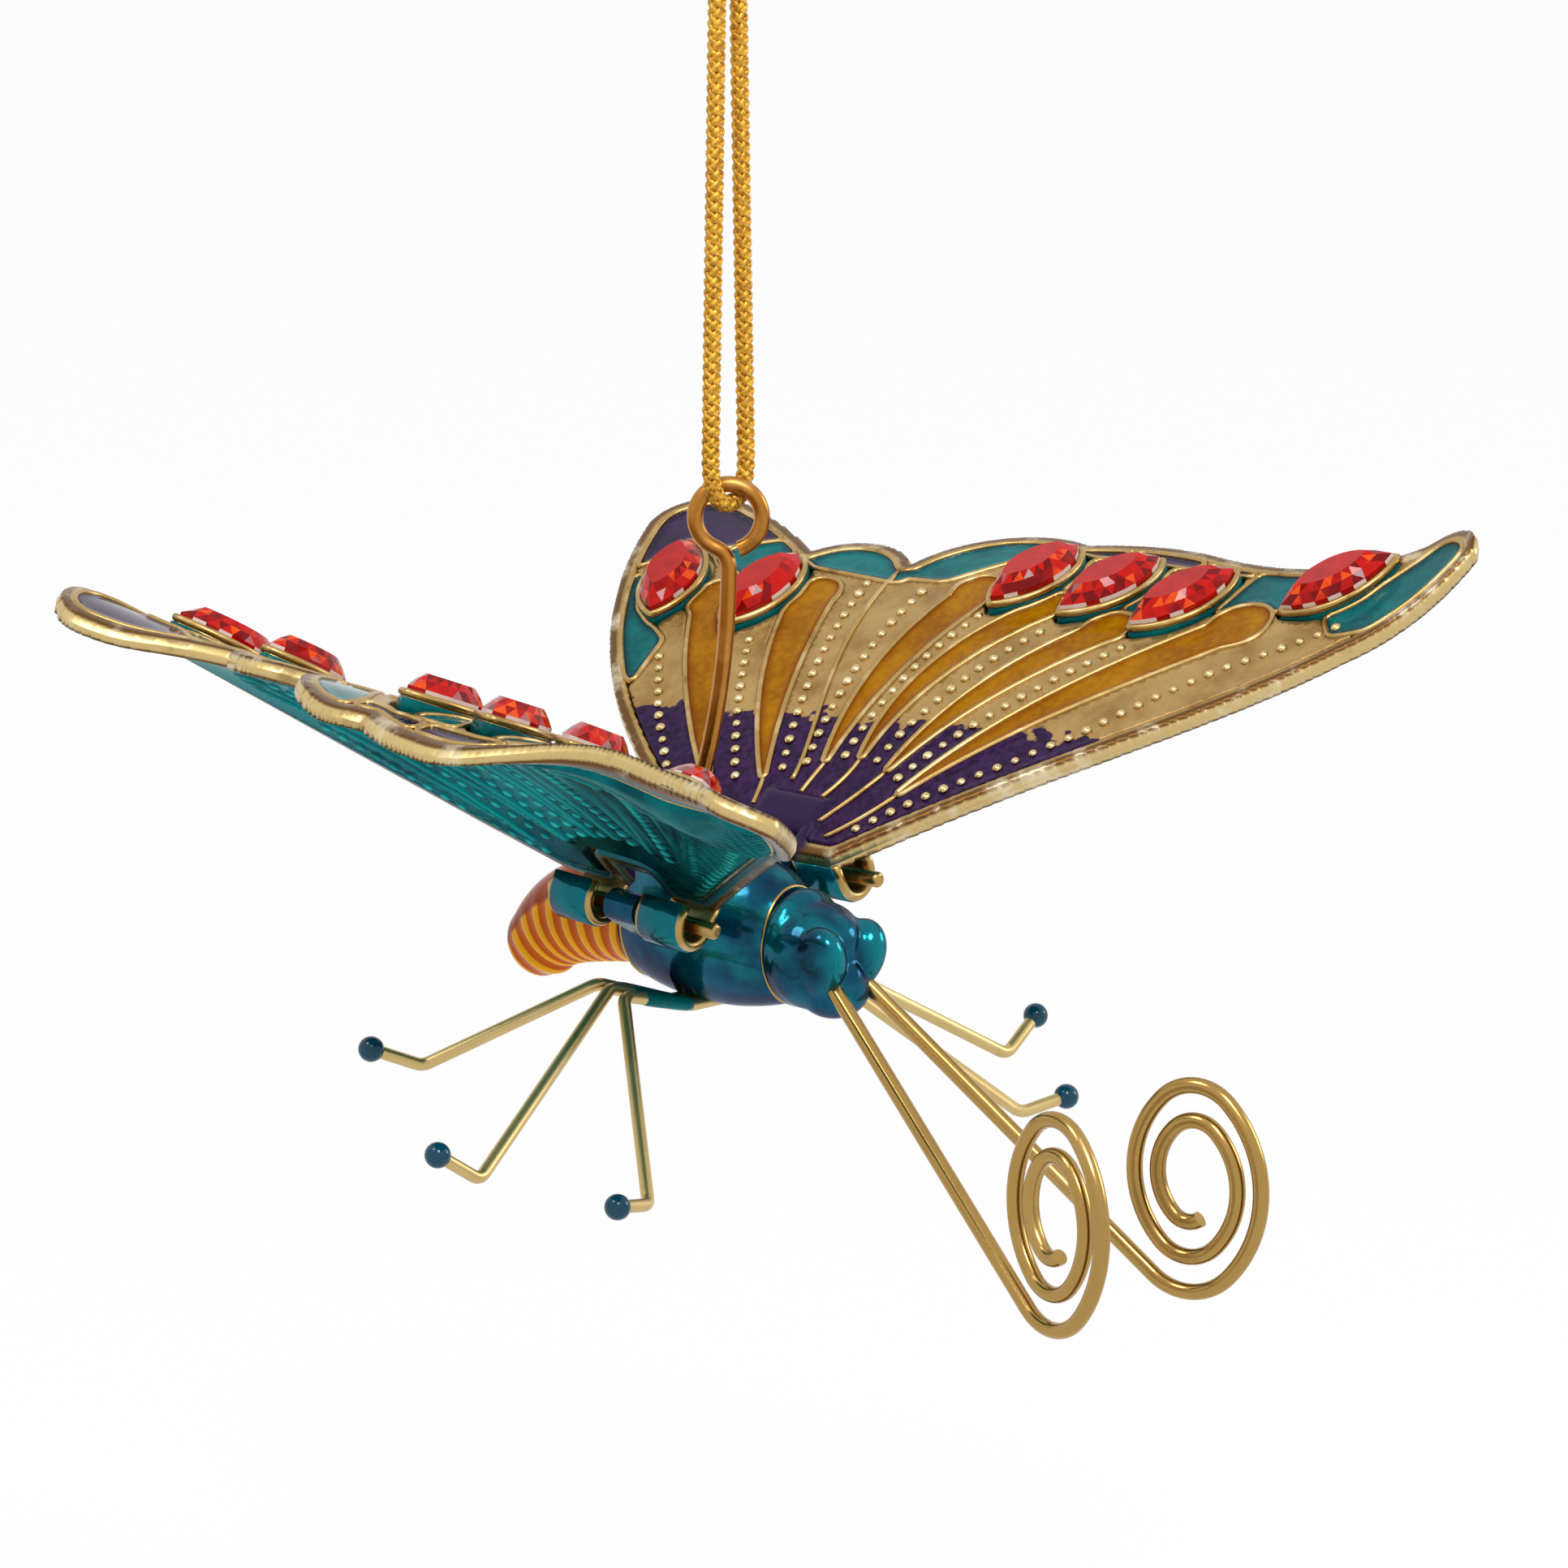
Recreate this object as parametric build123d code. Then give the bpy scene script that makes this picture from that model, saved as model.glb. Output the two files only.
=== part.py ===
from build123d import *
import os
from itertools import combinations
from math import acos, cos, degrees, pi, prod, radians, sin

# Hanging butterfly ornament: an enamelled cast body with bent wire legs and antennae,
# and two enamelled cast wings that hook over hinge rods carried beside the thorax.
# The butterfly faces -Y, its left wing is at +X and +Z is up. The origin is the top of
# the knot that the cord hangs by. Millimetres and degrees.

# Hanging: the datum that the body is drawn from is level with the left wing's root
hang_drop = 56.0            # knot top above the datum
hang_back = 3.9             # cord line behind the datum

# Wing outline, flat: x outwards from the root edge, y rearwards from the front root corner.
# Each stretch is an arc: the point it goes through, then the point it ends at.
front_root = (0.0, 0.0)
rear_root = (0.0, 11.6)
leading_edge = ((11.9, -13.0), (23.8, -24.2))
apex_rise = ((28.1, -27.9), (32.1, -29.8))
apex_round = ((33.8, -28.6), (33.6, -24.9))
apex_hollow = ((32.0, -16.6), (32.7, -8.0))
middle_scallop = ((33.2, -2.8), (32.2, 2.7))
rear_scallop = ((31.5, 9.1), (26.4, 13.0))
hind_lobe = ((28.1, 17.0), (25.9, 21.1))
hind_flank = ((28.2, 25.5), (29.8, 30.1))
hind_corner = ((28.8, 33.9), (25.3, 35.0))
inner_margin = ((15.0, 30.0), (5.9, 21.2))
inner_root = ((2.6, 16.5), rear_root)

# Wing casting
wing_thickness = 1.4
rim_width = 1.1
cell_depth = 0.45           # enamel cells sunk from the top
enamel_sink = 0.12          # enamel below the rims
back_depth = 0.35           # enamel bed sunk from the underside
back_sink = 0.1
vein_width = 0.35           # metal left between neighbouring cells
wing_reach = 33.8           # outermost point, where the bends are measured

# Wing curvature: an arch across the wing, a sag towards the leading edge, and a fore tip and
# a hind lobe that were bent by hand
arch_radius = 56.0
arch_middle = 16.5
arch_rise = 0.5
curl_run = 68.6             # from the rear limit of the wing to the fore tip
lobe_run = 68.4             # from the front limit of the wing to the end of the hind lobe
curl_power = 6              # how late the bends set in along those runs
leading_sag = 2.1           # at half the reach, level with the fore tip
sag_power = 3
left_bends = (5.0, 1.5)     # rise of the fore tip, rise of the hind lobe
right_bends = (-0.6, 2.8)

# Amber cells: inner end, outer end, sideways bow of the middle, width
amber_cells = [
    ((3.6, 12.7), (20.7, 25.1), 0.4, 3.0),
    ((4.9, 8.9), (22.9, 18.1), 0.5, 3.0),
    ((6.9, 5.2), (26.5, 6.0), 0.75, 2.9),
    ((7.7, 2.8), (25.9, -0.2), 1.35, 2.4),
    ((7.1, 0.3), (24.7, -6.6), 0.85, 2.6),
    ((5.5, -1.7), (27.1, -16.1), 0.65, 3.0),
]
amber_shoulder = 0.86       # along the cell, where the round outer end starts
amber_waist = 0.72          # width at the middle against the width at the shoulder

# Corners of the fields that the teal and purple cells of the margin fill
teal_fields = [
    [(10.5, 24.5), (14.4, 24.9), (15.8, 27.3), (20.0, 31.2), (16.6, 34.5)],
    [(21.3, 22.3), (26.1, 22.1), (26.8, 26.3), (23.2, 26.9)],
    [(24.1, 12.1), (29.9, 11.9), (29.6, 20.3), (24.2, 20.6)],
    [(24.6, 13.2), (33.2, 12.9), (33.3, 5.1), (30.1, 5.3), (25.1, 9.1)],
    [(24.3, -1.1), (30.3, -2.5), (30.4, 0.6), (24.8, 0.7)],
    [(24.1, -6.6), (30.4, -8.9), (30.7, -6.0), (24.6, -4.7)],
    [(26.3, -12.4), (30.8, -12.7), (31.7, -17.1), (29.5, -18.6), (26.5, -16.4)],
    [(25.2, -22.5), (26.8, -21.0), (33.3, -26.3), (32.9, -31.0), (26.3, -26.1)],
]
purple_fields = [
    [(30.5, 4.5), (33.9, 4.3), (34.0, -1.1), (31.0, -0.8)],
    [(31.0, -1.4), (34.0, -1.7), (34.0, -7.6), (30.9, -7.2)],
    [(30.6, -8.0), (34.0, -8.4), (34.0, -12.6), (30.7, -12.1)],
    [(24.3, 27.7), (27.6, 22.5), (32.0, 26.7), (32.0, 37.0), (21.1, 37.5), (20.9, 31.9), (24.6, 30.7)],
]
wing_front_limit = -34.0    # the wing lies inside these limits
wing_rear_limit = 40.0
wing_inner_limit = -3.0
wing_outer_limit = 37.0

# Stones: boat-shaped, faceted, each in a raised collar
stone_length = 7.6
stone_width = 3.8
stone_girdle = 0.75
stone_crown = 1.05
stone_table = 0.58          # table against the girdle outline
stone_sides = 5             # facets along each long side
collar_wall = 0.5
collar_margin = 0.15        # cells stop this far from a collar
collar_height = 0.75
collar_root = 0.6           # collar below the wing's top face
seat_height = 0.15          # collar floor above the wing's top face
stone_clearance = 0.05
stone_places = {            # middle of the stone, and its turn
    "hind_inner": ((19.7, 28.0), 18.0),
    "hind_outer": ((20.2, 20.5), -4.0),
    "fore_rear": ((26.6, 2.5), -10.0),
    "fore_middle": ((26.8, -3.6), -20.0),
    "fore_front": ((26.5, -9.8), -24.0),
    "tip": ((29.5, -20.4), -45.0),
}

# Wing hinge: hooks under the root edge that curl round a rod
rod_radius = 0.5
rod_out = 1.6               # rod outside the root edge
rod_below = 2.5             # rod under the root edge
rod_front = -2.0
rod_rear = 12.0
hook_clearance = 0.5
hook_strip = 0.6
hook_lip = 0.8
front_hook = (-0.3, 3.5)
rear_hook = (7.3, 10.9)
ear_span = (4.2, 6.6)
ear_radius = 1.0
ear_gap = 0.5               # wing notch each side of the ear
notch_depth = 3.2
ear_bore_clearance = 0.03

hinge_out = 7.4             # rods from the middle of the body
left_hinge_height = -3.05
right_hinge_height = -4.05
left_raise = 30.0           # wings lifted from level at rest
right_raise = 28.8
left_nose_down = 1.0        # how far each rod dips towards the head
right_nose_down = 4.4

# Body: stations as distance back, height of the middle, half width, half height
thorax_stations = [
    (-1.6, -6.1, 2.8, 3.6),
    (1.0, -5.7, 3.8, 4.6),
    (5.0, -5.6, 4.2, 4.9),
    (8.4, -5.6, 3.9, 4.4),
    (10.4, -5.8, 3.2, 3.6),
]
ear_foot = (2.6, -6.4)      # middle of the ear's foot inside the thorax
ear_foot_radius = 1.3
head_middle = (0.0, -4.3, -6.4)
head_radius = 3.6
eye_middle = (2.2, -6.0, -5.5)
eye_radius = 2.0
muzzle_middle = (0.0, -5.2, -8.5)
muzzle_radius = 2.0
abdomen_line = [(0.0, 10.4, -5.8), (0.0, 13.6, -5.8), (0.0, 17.0, -6.7), (0.0, 19.6, -8.5)]
abdomen_root_radius = 3.2
abdomen_swell = 0.5
abdomen_tip_radius = 2.5
abdomen_ribs = 8
rib_height = 0.18

# Legs: three wires bent as pairs, right half given, the left half mirrors it
leg_wire_radius = 0.4
leg_bend_radius = 1.0
leg_hollow = 2.5            # half of the flat run under the thorax
leg_level = -10.35
foot_radius = 0.8
leg_runs = {                # distance back under the thorax, bend, knee and tip
    "front": (4.7, (8.2, 5.1, -9.0), (17.0, -5.3, -18.9), (20.5, -6.1, -18.3)),
    "middle": (5.7, (8.4, 6.0, -8.6), (24.0, 1.9, -17.3), (27.2, 2.2, -15.3)),
    "rear": (6.7, (8.6, 6.9, -8.4), (17.0, 13.7, -13.2), (20.0, 15.1, -11.9)),
}

# Antennae: a straight run that ends in an oval spiral
antenna_radius = 0.5
antenna_root = (1.35, -5.7, -7.7)
antenna_bend = (5.8, -25.5, -23.9)
spiral_side = 8.2           # radius that the upright quarters shrink from
spiral_end = 3.7            # radius that the level quarters shrink from
spiral_shrink = 0.078       # share of that radius lost with each quarter
spiral_quarters = 9
spiral_last = 80.0          # turn of the last, shorter piece
quarter_turn = 90.0
gap_steps = 12              # points on each piece where the gap is measured

# Hanger: a wire eye on a stem bent forwards from the back of the thorax
hanger_radius = 0.5
stem_height = 16.7          # foot of the eye above the datum
stem_bend_radius = 40.0
stem_bend_turn = 25.0
stem_foot_length = 2.6      # straight foot, most of it in the thorax
eye_loop_radius = 2.05
eye_neck_radius = 1.3
eye_loop_turn = 320.0
eye_facing = 47.5           # the eye is turned this far from facing sideways

# Cord: one length through the eye, both ends in the knot
cord_radius = 0.5
cord_half_top = 0.9
cord_half_eye = 1.65
cord_gap = 0.2              # cord to the eye's wire
cord_bend_radius = 1.58
knot_radius = 1.7
knot_flat = 0.8             # the knot's flat underside below its middle
cord_seat = 0.02            # cord ends to that underside


def move_to_mount(part):
    return part.moved(Location((0, -hang_back, -hang_drop)))


def write(name, part):
    export_step(move_to_mount(part), f"parts/{name}.step")


def polygon(points):
    return make_face(Polyline(*points, close=True).edges())


# Wing planform

def wing_outline():
    start = front_root
    edges = []
    margin = [leading_edge, apex_rise, apex_round, apex_hollow, middle_scallop, rear_scallop,
              hind_lobe, hind_flank, hind_corner, inner_margin, inner_root]
    for through, end in margin:
        edges.append(ThreePointArc(start, through, end))
        start = end
    edges.append(Line(start, front_root))
    notch_front = ear_span[0] - ear_gap
    notch_rear = ear_span[1] + ear_gap
    notch = polygon([(wing_inner_limit, notch_front), (notch_depth, notch_front),
                     (notch_depth, notch_rear), (wing_inner_limit, notch_rear)])
    return Sketch() + make_face(edges) - notch


def amber_leaf(inner, outer, bow, width):
    start = Vector(*inner)
    end = Vector(*outer)
    along = (end - start).normalized()
    across = Vector(-along.Y, along.X)
    run = (end - start).length
    shoulder = start + along * run * amber_shoulder
    middle = start + along * run / 2 + across * bow
    left = shoulder + across * width / 2
    right = shoulder - across * width / 2
    waist = across * width * amber_waist / 2
    return make_face([
        ThreePointArc(start, middle + waist, left),
        ThreePointArc(left, end, right),
        ThreePointArc(right, middle - waist, start),
    ])


def navette(length, width):
    half = length / 2
    bow = width / 2
    radius = (half ** 2 + bow ** 2) / (2 * bow)
    points = []
    for side in (1, -1):
        for step in range(stone_sides):
            x = half * (1 - 2 * step / stone_sides)
            y = (radius ** 2 - x ** 2) ** 0.5 - (radius - bow)
            points.append((side * x, side * y))
    return polygon(points)


def stone_collar_plan(place):
    (x, y), turn = stone_places[place]
    plan = offset(navette(stone_length, stone_width), amount=collar_wall + collar_margin)
    return Location((x, y, 0), (0, 0, turn)) * plan


def joined(faces):
    total = Sketch()
    for face in faces:
        total += face
    return total


def widened(region, amount):
    return joined([offset(face, amount=amount) for face in region.faces()])


def wing_cells():
    bed = offset(wing_outline(), amount=-rim_width)
    collars = joined([stone_collar_plan(place) for place in stone_places])
    amber = joined([amber_leaf(*cell) for cell in amber_cells]) - collars
    amber_walls = widened(amber, vein_width)
    purple = (joined([polygon(field) for field in purple_fields]) & bed) - collars - amber_walls
    purple_walls = widened(purple, vein_width)
    teal = (joined([polygon(field) for field in teal_fields]) & bed) - collars - amber_walls - purple_walls
    teal_walls = widened(teal, vein_width)
    lanes = bed - collars - amber_walls - purple_walls - teal_walls
    return {"amber": amber, "teal": teal, "purple": purple, "lane": lanes}, bed


# Wing curvature

def blended(values, power):
    groups = list(combinations(values, power))
    return sum(prod(group) for group in groups) / len(groups)


def wing_form(xs, ys, bends):
    tip_rise, lobe_rise = bends
    middle = [x - arch_middle for x in xs]
    out = [x / wing_reach for x in xs]
    ahead = [(wing_rear_limit - y) / curl_run for y in ys]
    behind = [(y - wing_front_limit) / lobe_run for y in ys]
    arch = arch_rise - blended(middle, 2) / (2 * arch_radius)
    rise = tip_rise * blended(ahead, curl_power) + lobe_rise * blended(behind, curl_power)
    hollow = 4 * (blended(out, 1) - blended(out, 2))
    return arch + rise * blended(out, 2) - leading_sag * hollow * blended(ahead, sag_power)


def wing_height(x, y, bends):
    return wing_form([x] * 2, [y] * curl_power, bends)


def wing_surface(bends):
    inner = wing_inner_limit
    outer = wing_outer_limit
    net = []
    for row in range(curl_power + 1):
        ys = [wing_rear_limit] * (curl_power - row) + [wing_front_limit] * row
        line = []
        for xs in ((inner, inner), (inner, outer), (outer, outer)):
            line.append((sum(xs) / len(xs), sum(ys) / len(ys), wing_form(xs, ys, bends)))
        net.append(line)
    return Face.make_bezier_surface(net)


def layer(surface, low, high):
    return extrude(surface.moved(Location((0, 0, low))), amount=high - low, dir=(0, 0, 1))


def inlay(region, surface, low, high):
    tall = wing_reach
    prism = extrude(Location((0, 0, -tall)) * region, amount=2 * tall, dir=(0, 0, 1))
    return prism & layer(surface, low, high)


def on_wing(place, bends):
    (x, y), turn = stone_places[place]
    step = vein_width
    slope_x = (wing_height(x + step, y, bends) - wing_height(x - step, y, bends)) / (2 * step)
    slope_y = (wing_height(x, y + step, bends) - wing_height(x, y - step, bends)) / (2 * step)
    across = cos(radians(turn))
    back = sin(radians(turn))
    plane = Plane(
        origin=(x, y, wing_height(x, y, bends)),
        x_dir=(across, back, slope_x * across + slope_y * back),
        z_dir=(-slope_x, -slope_y, 1),
    )
    return plane.location


def collar(pocket):
    plan = navette(stone_length, stone_width)
    if pocket:
        return extrude(Location((0, 0, seat_height)) * offset(plan, amount=stone_clearance),
                       amount=stone_girdle + stone_crown)
    return extrude(Location((0, 0, -collar_root)) * offset(plan, amount=collar_wall),
                   amount=collar_root + collar_height)


def stone():
    plan = navette(stone_length, stone_width)
    girdle_top = seat_height + stone_girdle
    girdle = extrude(Location((0, 0, seat_height)) * plan, amount=stone_girdle)
    table = Location((0, 0, girdle_top + stone_crown)) * scale(plan, by=stone_table)
    return girdle + loft([Location((0, 0, girdle_top)) * plan, table], ruled=True)


# Wing hinge

def rod_height():
    return wing_height(*front_root, left_bends) - rod_below


def hook(span):
    inner = rod_radius + hook_clearance
    outer = inner + hook_strip
    ring = Circle(outer) - Circle(inner)
    lower = Location((0, -outer / 2)) * Rectangle(2 * outer, outer)
    leg_top = rod_below - wing_thickness / 2
    leg_middle = -(inner + outer) / 2
    leg = Location((leg_middle, leg_top / 2)) * Rectangle(hook_strip, leg_top)
    lip = Location((-leg_middle, hook_lip / 2)) * Rectangle(hook_strip, hook_lip)
    profile = Location((rod_out, rod_height())) * ((ring & lower) + leg + lip)
    front, rear = span
    return extrude(Plane.XZ.offset(-rear) * profile, amount=rear - front)


def hinge_place(height, nose_down):
    return Location((hinge_out, 0, height)) * Rot(nose_down, 0, 0)


def wing_place(height, nose_down, lift):
    return hinge_place(height, nose_down) * Rot(0, -lift, 0) * Location((-rod_out, 0, -rod_height()))


def hinge_rod(height, nose_down):
    rod = extrude(Plane.XZ.offset(-rod_rear) * Circle(rod_radius), amount=rod_rear - rod_front)
    ends = rod.edges().filter_by(GeomType.CIRCLE)
    return hinge_place(height, nose_down) * fillet(ends, rod_radius / 2)


def hinge_ear(height, nose_down):
    foot = Location((ear_foot[0] - hinge_out, ear_foot[1] - height)) * Circle(ear_foot_radius)
    profile = make_hull((Circle(ear_radius).edges() + foot.edges()))
    bore = Circle(rod_radius + ear_bore_clearance)
    front, rear = ear_span
    ear = extrude(Plane.XZ.offset(-rear) * profile, amount=rear - front)
    hole = extrude(Plane.XZ.offset(-rear) * bore, amount=rear - front)
    place = hinge_place(height, nose_down)
    return place * ear, place * hole


def make_wing(bends, cells, bed):
    surface = wing_surface(bends)
    top = -enamel_sink
    floor = -cell_depth
    underside = -wing_thickness
    pieces = {name: inlay(region, surface, floor, top) for name, region in cells.items()}
    pieces["back"] = inlay(bed, surface, underside + back_sink, underside + back_depth)
    hollows = [inlay(region, surface, floor, wing_thickness) for region in cells.values()]
    hollows.append(inlay(bed, surface, underside - wing_thickness, underside + back_depth))
    seats = {place: on_wing(place, bends) for place in stone_places}
    plate = inlay(wing_outline(), surface, underside, 0) - hollows
    plate = plate + [seat * collar(False) for seat in seats.values()]
    plate = plate - [seat * collar(True) for seat in seats.values()]
    plate = plate + [hook(span) for span in (front_hook, rear_hook)]
    stones = {place: seat * stone() for place, seat in seats.items()}
    return plate, pieces, stones


# Body

def thorax_body():
    sections = []
    for back, height, half_width, half_height in thorax_stations:
        plane = Plane(origin=(0, back, height), x_dir=(1, 0, 0), z_dir=(0, 1, 0))
        sections.append(plane * Ellipse(half_width, half_height))
    return loft(sections)


def head_body():
    x, y, z = eye_middle
    head = Location(head_middle) * Sphere(head_radius)
    head += Location((x, y, z)) * Sphere(eye_radius)
    head += Location((-x, y, z)) * Sphere(eye_radius)
    head += Location(muzzle_middle) * Sphere(muzzle_radius)
    neck = thorax_stations[0][0]
    behind = Location((0, neck + head_radius, head_middle[2]))
    return head - behind * Box(4 * head_radius, 2 * head_radius, 4 * head_radius)


def abdomen_body():
    line = Spline(*abdomen_line, tangents=((0, 1, 0), (0, 1, -1)))
    sections = []
    steps = 2 * abdomen_ribs
    for step in range(steps + 1):
        along = step / steps
        radius = abdomen_root_radius + (abdomen_tip_radius - abdomen_root_radius) * along
        radius += abdomen_swell * sin(radians(180 * along))
        radius -= rib_height * (step % 2)
        place = Plane(origin=line @ along, x_dir=(1, 0, 0), z_dir=line % along)
        sections.append(place * Circle(radius))
    end = Location(line @ 1) * Sphere(abdomen_tip_radius)
    return loft(sections, ruled=True) + end


def swept_wire(path, radius):
    return sweep(Plane(origin=path @ 0, z_dir=path % 0) * Circle(radius), path=path)


def straight_socket(outer_end, inner_end, radius):
    path = Line(outer_end, inner_end)
    return extrude(Plane(origin=path @ 0, z_dir=path % 0) * Circle(radius), amount=path.length)


def leg_groove(run):
    back = leg_runs[run][0]
    return straight_socket((-leg_hollow, back, leg_level), (leg_hollow, back, leg_level), leg_wire_radius)


def leg_wire(run):
    back, bend, knee, tip = leg_runs[run]
    left = [tip, knee, bend, (leg_hollow, back, leg_level)]
    right = [(-x, y, z) for x, y, z in reversed(left)]
    return swept_wire(FilletPolyline(*left, *right, radius=leg_bend_radius), leg_wire_radius)


def foot_bead(run, side):
    knee = Vector(*leg_runs[run][2])
    tip = Vector(*leg_runs[run][3])
    shin = tip - knee
    place = Plane(origin=(side * tip.X, tip.Y, tip.Z), z_dir=(side * shin.X, shin.Y, shin.Z))
    socket = Cylinder(leg_wire_radius, foot_radius, align=(Align.CENTER, Align.CENTER, Align.MAX))
    return place * (Sphere(foot_radius) - socket)


def antenna_socket(side):
    root = (side * antenna_root[0], *antenna_root[1:])
    bend = (side * antenna_bend[0], *antenna_bend[1:])
    return straight_socket(bend, root, antenna_radius)


def antenna():
    root = Vector(*antenna_root)
    bend = Vector(*antenna_bend)
    along = (bend - root).normalized()
    upward = (Vector(0, 0, 1) - along * along.Z).normalized()
    plane = Plane(origin=bend, x_dir=along, z_dir=along.cross(upward))
    dip = along.get_angle(Vector(along.X, along.Y, 0))
    edges = [Line((-(bend - root).length, 0), (0, 0))]
    turn = dip + quarter_turn / 2
    for quarter in range(spiral_quarters):
        base = spiral_side if quarter % 2 else spiral_end
        radius = base * (1 - spiral_shrink * quarter)
        edges.append(JernArc(edges[-1] @ 1, edges[-1] % 1, radius, turn))
        turn = spiral_last if quarter == spiral_quarters - 2 else quarter_turn
    points = [edge @ (step / gap_steps) for edge in edges[1:] for step in range(gap_steps)]
    half_loop = 2 * gap_steps
    gaps = [
        (points[i] - points[j]).length - 2 * antenna_radius
        for i in range(len(points)) for j in range(i + half_loop, len(points))
    ]
    print("antenna spiral, least gap to itself", round(min(gaps), 2))
    return swept_wire(plane * Curve(edges), antenna_radius)


def hanger():
    top = Vector(0, hang_back, stem_height)
    stem_plane = Plane(origin=top, x_dir=(0, 1, 0), z_dir=(1, 0, 0))
    bend = JernArc((0, 0), (0, -1), stem_bend_radius, stem_bend_turn)
    foot = Line(bend @ 1, (bend @ 1) + (bend % 1) * stem_foot_length)
    stem = stem_plane * Curve([bend, foot])
    facing = Vector(cos(radians(eye_facing)), -sin(radians(eye_facing)), 0)
    eye_plane = Plane(origin=top, x_dir=facing, z_dir=facing.cross(Vector(0, 0, 1)))
    neck_turn = degrees(acos(eye_neck_radius / (eye_neck_radius + eye_loop_radius)))
    neck = JernArc((0, 0), (0, 1), eye_neck_radius, neck_turn)
    loop = JernArc(neck @ 1, neck % 1, eye_loop_radius, -eye_loop_turn)
    eye = eye_plane * Curve([neck, loop])
    eye_height = stem_height + (eye_neck_radius + eye_loop_radius) * sin(radians(neck_turn))
    straight = stem_plane * foot
    socket = straight_socket(straight @ 0, straight @ 1, hanger_radius)
    ends = list(eye.edges())[::-1]
    return swept_wire(Curve(ends + list(stem.edges())), hanger_radius), socket, eye_height


def hanging_cord(eye_height):
    low = eye_height + eye_loop_radius - hanger_radius - cord_gap - cord_radius
    high = hang_drop - knot_radius - knot_flat - cord_seat
    path = FilletPolyline(
        (-cord_half_top, hang_back, high), (-cord_half_eye, hang_back, low),
        (cord_half_eye, hang_back, low), (cord_half_top, hang_back, high),
        radius=cord_bend_radius,
    )
    tube = swept_wire(path, cord_radius)
    print("cord length", round(path.length, 1), "bend radius", cord_bend_radius)
    print("cord volume against its section times its length",
          round(tube.volume / (pi * cord_radius ** 2 * path.length), 3))
    return tube


def knot():
    ball = Sphere(knot_radius)
    below = Location((0, 0, -knot_flat)) * Box(2 * knot_radius, 2 * knot_radius, 2 * knot_radius,
                                               align=(Align.CENTER, Align.CENTER, Align.MAX))
    return Location((0, hang_back, hang_drop - knot_radius)) * (ball - below)


def main():
    os.makedirs("parts", exist_ok=True)
    hinges = {
        "left": (left_hinge_height, left_nose_down, left_raise, left_bends),
        "right": (right_hinge_height, right_nose_down, right_raise, right_bends),
    }
    stem, stem_socket, eye_height = hanger()
    legs = {run: leg_wire(run) for run in leg_runs}
    left_feeler = antenna()
    feelers = {"left": left_feeler, "right": mirror(left_feeler, about=Plane.YZ)}
    thorax = thorax_body() - stem_socket
    for run in legs:
        thorax -= leg_groove(run)
    cells, bed = wing_cells()
    for side, (height, nose_down, lift, bends) in hinges.items():
        plate, pieces, stones = make_wing(bends, cells, bed)
        place = wing_place(height, nose_down, lift)
        ear, bore = hinge_ear(height, nose_down)
        group = {f"{side}_wing_plate": place * plate}
        group |= {f"{side}_wing_{name}_enamel": place * piece for name, piece in pieces.items()}
        group |= {f"{side}_stone_{name}": place * piece for name, piece in stones.items()}
        group[f"{side}_hinge_rod"] = hinge_rod(height, nose_down)
        if side == "right":
            group = {name: mirror(piece, about=Plane.YZ) for name, piece in group.items()}
            ear = mirror(ear, about=Plane.YZ)
            bore = mirror(bore, about=Plane.YZ)
        thorax = thorax + ear - bore
        for name, piece in group.items():
            write(name, piece)
    head = head_body() - antenna_socket(1) - antenna_socket(-1)
    for side, wire in feelers.items():
        write(f"{side}_antenna", wire)
    write("thorax", thorax)
    write("head", head)
    write("abdomen", abdomen_body())
    for run, wire in legs.items():
        write(f"{run}_leg_wire", wire)
        write(f"{run}_foot_left", foot_bead(run, 1))
        write(f"{run}_foot_right", foot_bead(run, -1))
    write("hanger_eye", stem)
    write("hanging_cord", hanging_cord(eye_height))
    write("cord_knot", knot())


main()
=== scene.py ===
from math import ceil, cos, hypot, pi, radians, sin

import bpy
import numpy as np
from mathutils import Matrix, Vector
from mathutils.geometry import delaunay_2d_cdt


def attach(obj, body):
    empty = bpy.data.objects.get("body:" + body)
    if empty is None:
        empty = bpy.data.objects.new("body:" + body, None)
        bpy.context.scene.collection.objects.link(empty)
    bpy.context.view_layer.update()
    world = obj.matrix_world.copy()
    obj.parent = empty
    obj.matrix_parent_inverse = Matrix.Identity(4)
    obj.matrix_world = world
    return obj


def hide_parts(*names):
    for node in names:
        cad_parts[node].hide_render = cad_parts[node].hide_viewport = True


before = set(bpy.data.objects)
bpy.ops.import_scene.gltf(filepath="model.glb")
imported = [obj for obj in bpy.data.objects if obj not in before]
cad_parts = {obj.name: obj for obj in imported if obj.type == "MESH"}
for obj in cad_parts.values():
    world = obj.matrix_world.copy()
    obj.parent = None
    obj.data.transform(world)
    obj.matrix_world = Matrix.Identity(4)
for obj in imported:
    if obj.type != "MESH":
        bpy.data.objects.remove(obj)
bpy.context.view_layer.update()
mm = 0.001
rng = np.random.default_rng(7)

# The body is drawn from a datum level with the left wing's root, under the hanging point
hang = {"drop": 56.0, "back": 3.9}


def fromDatum(points):
    points = np.asarray(points, dtype=float)
    return (points - np.array([0.0, hang["back"], hang["drop"]])) * mm


# Shader maths

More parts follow.
